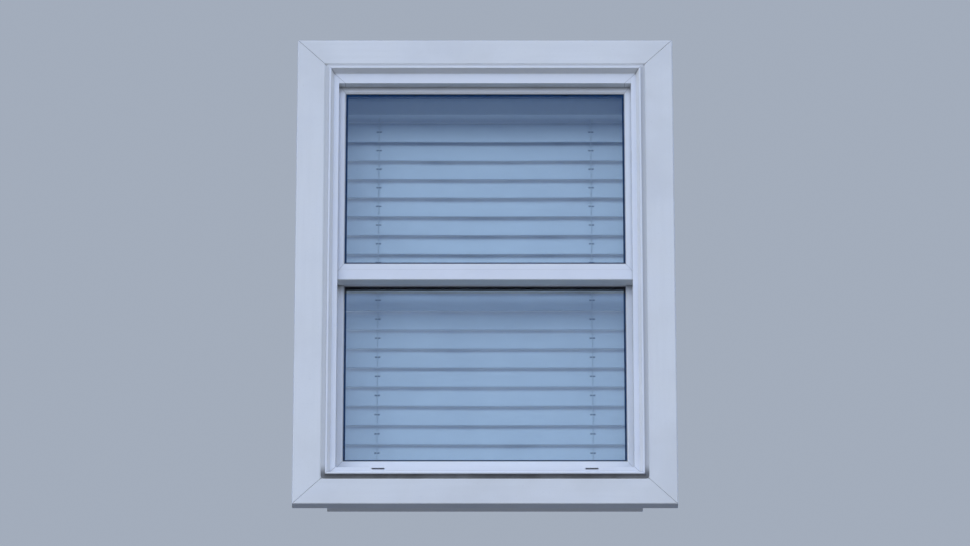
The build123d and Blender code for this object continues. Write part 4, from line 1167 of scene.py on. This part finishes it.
class SASHWINDOW_OT_studio(bpy.types.Operator):
    """Adds the floor, the soft light, the plain backdrop and the camera"""

    bl_idname = "sash_window.studio"
    bl_label = "Studio"

    def execute(self, context):
        studio = context.scene.sash_window_studio
        self.add_floor(studio)
        self.add_world(context.scene, studio)
        self.add_panel("sky_panel", *SKY_PANEL, studio.panel_power)
        self.add_panel("room_panel", *ROOM_PANEL, studio.room_power)
        self.add_camera(context.scene, studio)
        return {"FINISHED"}

    def add_floor(self, studio):
        """Flat round floor: rings of points, the spacing growing as a square."""
        rings = FLOOR_REACH * np.linspace(0.02, 1.0, FLOOR_RINGS) ** 2
        angle = np.linspace(0.0, 2 * np.pi, FLOOR_SIDES, endpoint=False)
        points = np.stack([
            rings[:, None] * np.cos(angle), rings[:, None] * np.sin(angle),
            np.full((FLOOR_RINGS, FLOOR_SIDES), studio.floor_height),
        ], axis=-1)
        index = np.arange(FLOOR_RINGS * FLOOR_SIDES).reshape(FLOOR_RINGS, FLOOR_SIDES)
        turned = np.roll(index, -1, axis=1)
        quads = np.stack([index[:-1], index[1:], turned[1:], turned[:-1]], axis=-1)
        faces = quads.reshape(-1, 4).tolist() + [index[0].tolist()]
        mesh = bpy.data.meshes.new("studio_floor")
        mesh.from_pydata(points.reshape(-1, 3).tolist(), [], faces)
        material, w, shader, _ = empty_material("studio_floor")
        tone = w.noise(w.object_place(), 0.6, 2.0)
        pale = w.blend(tone, *(colour4(colour) for colour in FLOOR_COLOURS))
        bounced = w.node("ShaderNodeLightPath").outputs["Is Diffuse Ray"]
        w.fill(shader, {
            "Base Color": w.blend(bounced, pale, colour4(studio.floor_bounce)),
            "Roughness": 0.8,
        })
        mesh.materials.append(material)
        floor = bpy.data.objects.new("studio_floor", mesh)
        bpy.context.scene.collection.objects.link(floor)

    def add_world(self, scene, studio):
        """Light dome, bright above and in front, a plain backdrop, and a sky and ground for
        gloss."""
        world = bpy.data.worlds.new("studio_world")
        world.use_nodes = True
        world.node_tree.nodes.clear()
        w = Wiring(world.node_tree)
        path = w.node("ShaderNodeLightPath").outputs
        x, y, z = w.parts(w.node("ShaderNodeTexCoord").outputs["Generated"])
        front = w.ramp(w.times(y, -1.0), -0.3, 0.3, studio.back_share, 1.0)
        leaning = w.maths("MULTIPLY_ADD", x, -studio.side_lean, 1.0)
        level = w.times(w.times(front, leaning), w.ramp(z, 0.35, 0.95, 1.0, 0.55))
        backdrop = colour4(studio.backdrop_colour)
        shade = w.blend(
            w.ramp(z, -0.06, 0.22), colour4(studio.bounce_colour), colour4(studio.shade_colour))
        dome = w.vector("SCALE", {0: shade, "Scale": w.times(level, studio.shade_strength)})
        mirrored = w.blend(
            w.ramp(z, -0.08, 0.30), colour4(studio.ground_colour), colour4(studio.sky_colour))
        behind = w.blend(w.ramp(y, -0.1, 0.1), backdrop, colour4(studio.room_colour))
        shown = w.blend(path["Is Glossy Ray"], dome, mirrored)
        shown = w.blend(path["Is Transmission Ray"], shown, behind)
        shown = w.blend(path["Is Camera Ray"], shown, backdrop)
        background = w.node("ShaderNodeBackground", {"Color": shown})
        w.node("ShaderNodeOutputWorld", {"Surface": background.outputs[0]})
        scene.world = world
        scene.view_settings.view_transform = "Standard"

    def add_panel(self, name, place, size, power):
        """Large soft panel that faces the middle of the window."""
        data = bpy.data.lights.new(name, "AREA")
        data.shape = "RECTANGLE"
        data.size, data.size_y = size
        data.energy = power
        data.color = PANEL_COLOUR
        panel = self.aimed(name, data, place)
        panel.visible_glossy = False
        panel.visible_transmission = False

    def add_camera(self, scene, studio):
        """Camera below and in front, as someone on the ground sees a gable window."""
        data = bpy.data.cameras.new("camera")
        data.sensor_width = 36.0
        data.lens = studio.focal_length
        data.clip_end = 200.0
        scene.camera = self.aimed("camera", data, CAMERA_PLACE)

    def aimed(self, name, data, place):
        """A light or camera at that place, turned to the middle of the window."""
        made = bpy.data.objects.new(name, data)
        made.location = place
        made.rotation_mode = "QUATERNION"
        made.rotation_quaternion = (FACE_MIDDLE - place).to_track_quat("-Z", "Y")
        bpy.context.scene.collection.objects.link(made)
        return made


class SASHWINDOW_PT_sidebar(bpy.types.Panel):
    """Lists the window's pieces and their settings"""

    bl_idname = "SASHWINDOW_PT_sidebar"
    bl_label = "Sash Window"
    bl_space_type = "VIEW_3D"
    bl_region_type = "UI"
    bl_category = "Sash Window"

    def draw(self, context):
        for operator in OPERATORS:
            self.layout.operator(operator.bl_idname)
        for key, kind in SETTINGS.items():
            box = self.layout.box()
            for name in kind.__annotations__:
                box.prop(getattr(context.scene, key), name)


OPERATORS = (
    SASHWINDOW_OT_studio,
    SASHWINDOW_OT_casing,
    SASHWINDOW_OT_sealant,
    SASHWINDOW_OT_lining,
    SASHWINDOW_OT_vinyl,
    SASHWINDOW_OT_glass,
    SASHWINDOW_OT_hardware,
    SASHWINDOW_OT_blind_fittings,
    SASHWINDOW_OT_blind_slats,
    SASHWINDOW_OT_blind_wand,
)
SETTINGS = {
    "sash_window_boards": BoardSettings,
    "sash_window_sashes": SashSettings,
    "sash_window_blind": BlindSettings,
    "sash_window_studio": StudioSettings,
}
CLASSES = (*SETTINGS.values(), *OPERATORS, SASHWINDOW_PT_sidebar)


def register():
    for kind in CLASSES:
        bpy.utils.register_class(kind)
    for key, kind in SETTINGS.items():
        setattr(bpy.types.Scene, key, bpy.props.PointerProperty(type=kind))


def unregister():
    for key in SETTINGS:
        delattr(bpy.types.Scene, key)
    for kind in reversed(CLASSES):
        bpy.utils.unregister_class(kind)


def main():
    """Registers the add-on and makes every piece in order."""
    register()
    bpy.ops.sash_window.studio()
    bpy.ops.sash_window.casing()
    bpy.ops.sash_window.sealant()
    bpy.ops.sash_window.lining()
    bpy.ops.sash_window.vinyl()
    bpy.ops.sash_window.glass()
    bpy.ops.sash_window.hardware()
    bpy.ops.sash_window.blind_fittings()
    bpy.ops.sash_window.blind_slats()
    bpy.ops.sash_window.blind_wand()


if __name__ == "__main__":
    main()
